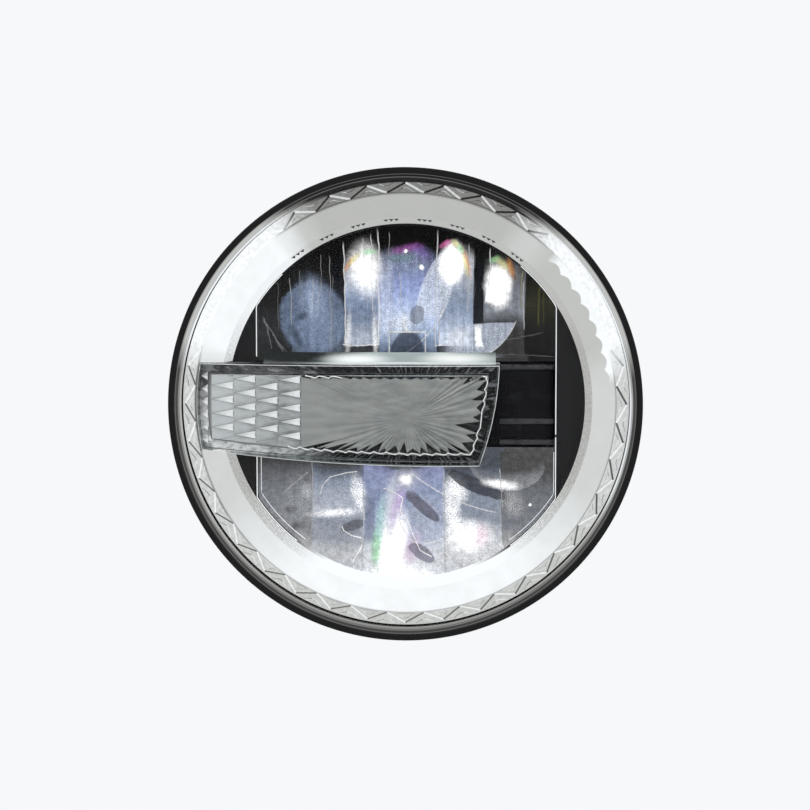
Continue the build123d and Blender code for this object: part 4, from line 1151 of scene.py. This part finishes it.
def band_finish(name, level, top, lit, low):
    """Silvery clear band in painted light: its tone changes as the halo feeds it, with painted shade in the
    groove where it meets the halo and over the outer edge at the top.
    """
    material, tree, place = new_finish(name)
    radius, degrees = around_axis(tree, place)
    streak = speckle(tree, place, 1.6, 4.0)
    light = ring_light(tree, degrees, shade(level), top, lit, lit, low)
    dull = outside(tree, spot(tree, degrees, 146, 16, 8))
    # Painted shade in the groove next to the halo over the top and left, left out at the left lit place, and
    # along the top of the outer edge.
    groove = times(tree, ramped(tree, radius, 79.9, 79.5, 0, 0.85), spot(tree, degrees, 130, 78, 15))
    light = tinted(tree, times(tree, groove, dull), light, shade(62))
    rim_shade = times(tree, ramped(tree, radius, 83.2, 83.5, 0, 1), spot(tree, degrees, 84, 26, 8))
    light = tinted(tree, rim_shade, light, shade(28))
    light = vectors(tree, "SCALE", light, None, None, ramped(tree, streak, 0.3, 0.7, 0.86, 1.1))
    coat(tree, light=light, colour=(0.03, 0.03, 0.03), shine=0.15,
         rough=ramped(tree, streak, 0.3, 0.7, 0.2, 0.4))
    return material


band_silver = band_finish("band_silver", 205, 128, 252, 196)
flank_painted_shade = band_finish("flank_painted_shade", 78, 30, 246, 96)
flank_bright = band_finish("flank_bright", 238, 215, 254, 236)
tooth_pitch = 360 / tooth_count
teeth = repeated("halo_zigzag", tooth_mesh(), [(0, 0, 0)] * tooth_count, band_silver,
                 -math.radians(tooth_pitch))


def turned_mesh(name, section, turns):
    """Closed skin turned about the optical axis from (radius, y) corners in millimetres."""
    angles = [2 * math.pi * step / turns for step in range(turns)]
    return skin_mesh(name, [[about_axis(r, turn, y) for r, y in section] for turn in angles], looped=True)


flange_section = [(tooth_bore, flange_face), (flange_radius - flange_ease, flange_face),
                  (flange_radius, flange_face + flange_ease), (flange_radius, flange_back),
                  (tooth_bore, flange_back)]
flange = linked("halo_flange", turned_mesh("halo_flange", flange_section, halo_steps))
placed(flange, "halo_white", finish=band_silver)
teeth.data.materials.clear()
for finish in (band_silver, flank_painted_shade, flank_bright):
    teeth.data.materials.append(finish)
# Each prism's two flanks take painted shade on one side and a painted highlight on the other.
for side in teeth.data.polygons:
    turn = math.degrees(math.atan2(side.center.z, side.center.x)) % 360
    if abs(side.normal.y) < 0.99:
        side.material_index = 1 if turn % tooth_pitch < tooth_pitch / 2 else 2
placed(teeth, "halo_white", angle=10)

notch_finish = solid_finish("notch_dark", (0.03, 0.03, 0.03), (0.12, 0.12, 0.118), 0.4, 0.3, 0.3, shine=0.2)
notch_count, notch_first, notch_pitch, notch_spread = 8, 52.9, 10.4, 2.0
notch_inner, notch_outer, notch_half, notch_rise = 68.8, 69.75, 0.95, 0.12


def notch_mesh():
    """Three small three-cornered pads side by side on the halo's inner wall."""
    (top_radius, top), (foot_radius, foot) = halo_section[-2:]
    pads = []
    for middle in (-notch_spread, 0.0, notch_spread):
        front, back = [], []
        for radius, side in ((notch_outer, middle - notch_half), (notch_outer, middle + notch_half),
                             (notch_inner, middle)):
            turn = math.radians(notch_first) + side / radius
            face = foot + (radius - foot_radius) * (top - foot) / (top_radius - foot_radius)
            front.append(about_axis(radius, turn, face - notch_rise))
            back.append(about_axis(radius, turn, face + notch_rise))
        pads.append([front, back])
    return skin_mesh("notch", *pads)


notches = repeated("halo_notches", notch_mesh(), [(0, 0, 0)] * notch_count, notch_finish,
                   -math.radians(notch_pitch))
placed(notches, "halo_white", finish=notch_finish)


# Outer lens: one dome of clear moulded plastic with a skirt round it.
# The skirt goes round the halo and is glued on the flange of the housing.

lens_wall, lens_edge, skirt_inner, skirt_back, lens_turns = 2.4, 87.0, 84.6, -70.8, 180


def dome_section(radius, edge, steps=24):
    """Corners of a dome's section, from its crown out to its edge."""
    spans = [edge * i / steps for i in range(steps + 1)]
    return [(r, dome_centre - math.sqrt(radius**2 - r**2)) for r in spans]


lens_section = dome_section(dome_radius, lens_edge) + [(lens_edge, skirt_back), (skirt_inner, skirt_back)]
lens_section += dome_section(dome_radius - lens_wall, skirt_inner)[::-1]
lens = linked("clear_dome", turned_mesh("clear_dome", lens_section, lens_turns))
placed(lens, "clear_lens", "outer_lens", finish=clear_finish("clear_lens", 1.08, (1.0, 1.0, 1.0)))


# Trim ring: spun steel, painted satin black, pressed over the edge of the lens and the housing.
# It has a raised outer band and a lower lip that bears on the lens.

def eased_section(corners, ease, steps=4):
    """Closed section with each corner rounded."""
    rounded = []
    for i, corner in enumerate(corners):
        here, before, after = Vector(corner), Vector(corners[i - 1]), Vector(corners[(i + 1) % len(corners)])
        start = here + (before - here).normalized() * min(ease, (before - here).length * 0.45)
        end = here + (after - here).normalized() * min(ease, (after - here).length * 0.45)
        for step in range(steps + 1):
            t = step / steps
            point = start * (1 - t) ** 2 + here * 2 * t * (1 - t) + end * t**2
            rounded.append((point.x, point.y))
    return rounded


ring_section = [(89, -80), (89, -64), (87.4, -64), (87.4, -76.8),
                (84.2, -76.8), (84.2, -78.4), (86.6, -78.4), (86.6, -80)]
ring_ease, ring_turns = 0.5, 240


def rim_finish(name):
    """Satin black paint. The lip takes painted light from the halo, with fine dark and pale lines along it as
    painted shade and highlights.
    """
    material, tree, place = new_finish(name)
    radius, degrees = around_axis(tree, place)
    depth = times(tree, parted(tree, place)[1], 1 / MM)
    grain = speckle(tree, place, 0.5, 4.0)
    inner = ring_light(tree, degrees, shade(175), 28, 240, 240, 140)
    inner = tinted(tree, spot(tree, degrees, 350, 12, 10), inner, shade(228))
    outer = ring_light(tree, degrees, shade(70), 24, 190, 190, 62)
    light = tinted(tree, ramped(tree, radius, 85.1, 85.3, 0, 1), inner, outer)
    across = add(tree, "ShaderNodeCombineXYZ", radius).outputs[0]
    # Painted highlight and shade lines along the edges of the lip and the band.
    for at, level, share in ((84.95, 45, 0.7), (85.35, 150, 0.5), (86.45, 120, 0.6)):
        line = patch(tree, across, box, (at, 0), (0.12, 9), 0, 0.4)
        light = tinted(tree, times(tree, line, share), light, shade(level))
    lip = times(tree, ramped(tree, radius, 86.7, 86.5, 0, 1), ramped(tree, depth, -76.7, -76.9, 0, 1))
    coat(tree, colour=tinted(tree, grain, (0.0055, 0.0055, 0.006), (0.008, 0.008, 0.0085)), shine=0.12,
         light=tinted(tree, lip, (0, 0, 0), light), rough=ramped(tree, grain, 0.3, 0.7, 0.25, 0.38),
         relief=bumped(tree, grain, 0.2, 0.05))
    return material


rim = linked("trim_rim", turned_mesh("trim_rim", eased_section(ring_section, ring_ease), ring_turns))
placed(rim, "rim_black", "trim_ring", finish=rim_finish("rim_black"), angle=50)


# Studio: a pale floor well below the lamp, soft light from above and from both sides, and a camera
# at the height of the lamp's upper half that looks slightly down on it.

backdrop = (0.930, 0.939, 0.956)
floor_level, floor_reach = -0.32, 6.0


def looked_at(tree):
    """1 for a ray that comes from the camera straight, by a mirror or through a clear piece."""
    ray = add(tree, "ShaderNodeLightPath").outputs
    seen = maths(tree, "MAXIMUM", ray["Is Camera Ray"], ray["Is Glossy Ray"])
    return maths(tree, "MAXIMUM", seen, ray["Is Transmission Ray"])


def floor_finish():
    """Pale matt floor, plain backdrop where it is far from the lamp."""
    material, tree, place = new_finish("studio_floor")
    seen = looked_at(tree)
    matt = coat(tree, colour=tinted(tree, speckle(tree, place, 400), (0.78, 0.79, 0.80), (0.8, 0.81, 0.82)),
                rough=0.9, shine=0.0)
    glow = add(tree, "ShaderNodeEmission", backdrop, 1.0).outputs[0]
    clean = times(tree, seen, ramped(tree, vectors(tree, "LENGTH", place), 0.4, 0.7, 0.6, 1.0))
    shone(tree, clean, matt, glow)
    return material


floor_corners = [(x * floor_reach, y * floor_reach, floor_level)
                 for x, y in ((-1, -1), (1, -1), (1, 1), (-1, 1))]
floor_shape = bpy.data.meshes.new("studio_floor")
floor_shape.from_pydata(floor_corners, [], [(0, 1, 2, 3)])
floor = linked("studio_floor", floor_shape)
floor.data.materials.append(floor_finish())

world = bpy.data.worlds.new("studio")
bpy.context.scene.world = world
world.use_nodes = True
sky_light = world.node_tree.nodes["Background"].inputs
fill(world.node_tree, sky_light["Color"], backdrop)
sky_strength = ramped(world.node_tree, looked_at(world.node_tree), 0, 1, 0.45, 1.0)
fill(world.node_tree, sky_light["Strength"], sky_strength)


def studio_light(name, place, size, power):
    """Round soft light that is turned to the lamp."""
    light = bpy.data.lights.new(name, "AREA")
    light.shape, light.size, light.energy = "DISK", size, power
    lamp = linked(name, light)
    lamp.location = place
    lamp.rotation_euler = (-Vector(place)).to_track_quat("-Z", "Y").to_euler()


studio_light("key_light", (-0.9, -1.2, 1.3), 0.9, 16)
studio_light("fill_light", (1.3, -1.0, 0.5), 1.0, 8)
studio_light("back_light", (0.3, 1.4, 1.0), 1.0, 12)

camera_distance, camera_rise, camera_turn = 1.0, math.radians(5.0), math.radians(2.0)
camera_aim, camera_sensor, camera_lens = Vector((0, -0.077, 0)), 36.0, 118.4
toward = Vector((math.sin(camera_turn) * math.cos(camera_rise), -math.cos(camera_turn) * math.cos(camera_rise),
                 math.sin(camera_rise)))
camera = linked("camera", bpy.data.cameras.new("camera"))
camera.data.sensor_width, camera.data.lens = camera_sensor, camera_lens * camera_distance
camera.location = camera_aim + toward * camera_distance
camera.rotation_euler = (-toward).to_track_quat("-Z", "Y").to_euler()
bpy.context.scene.camera = camera
bpy.context.scene.view_settings.view_transform = "Standard"
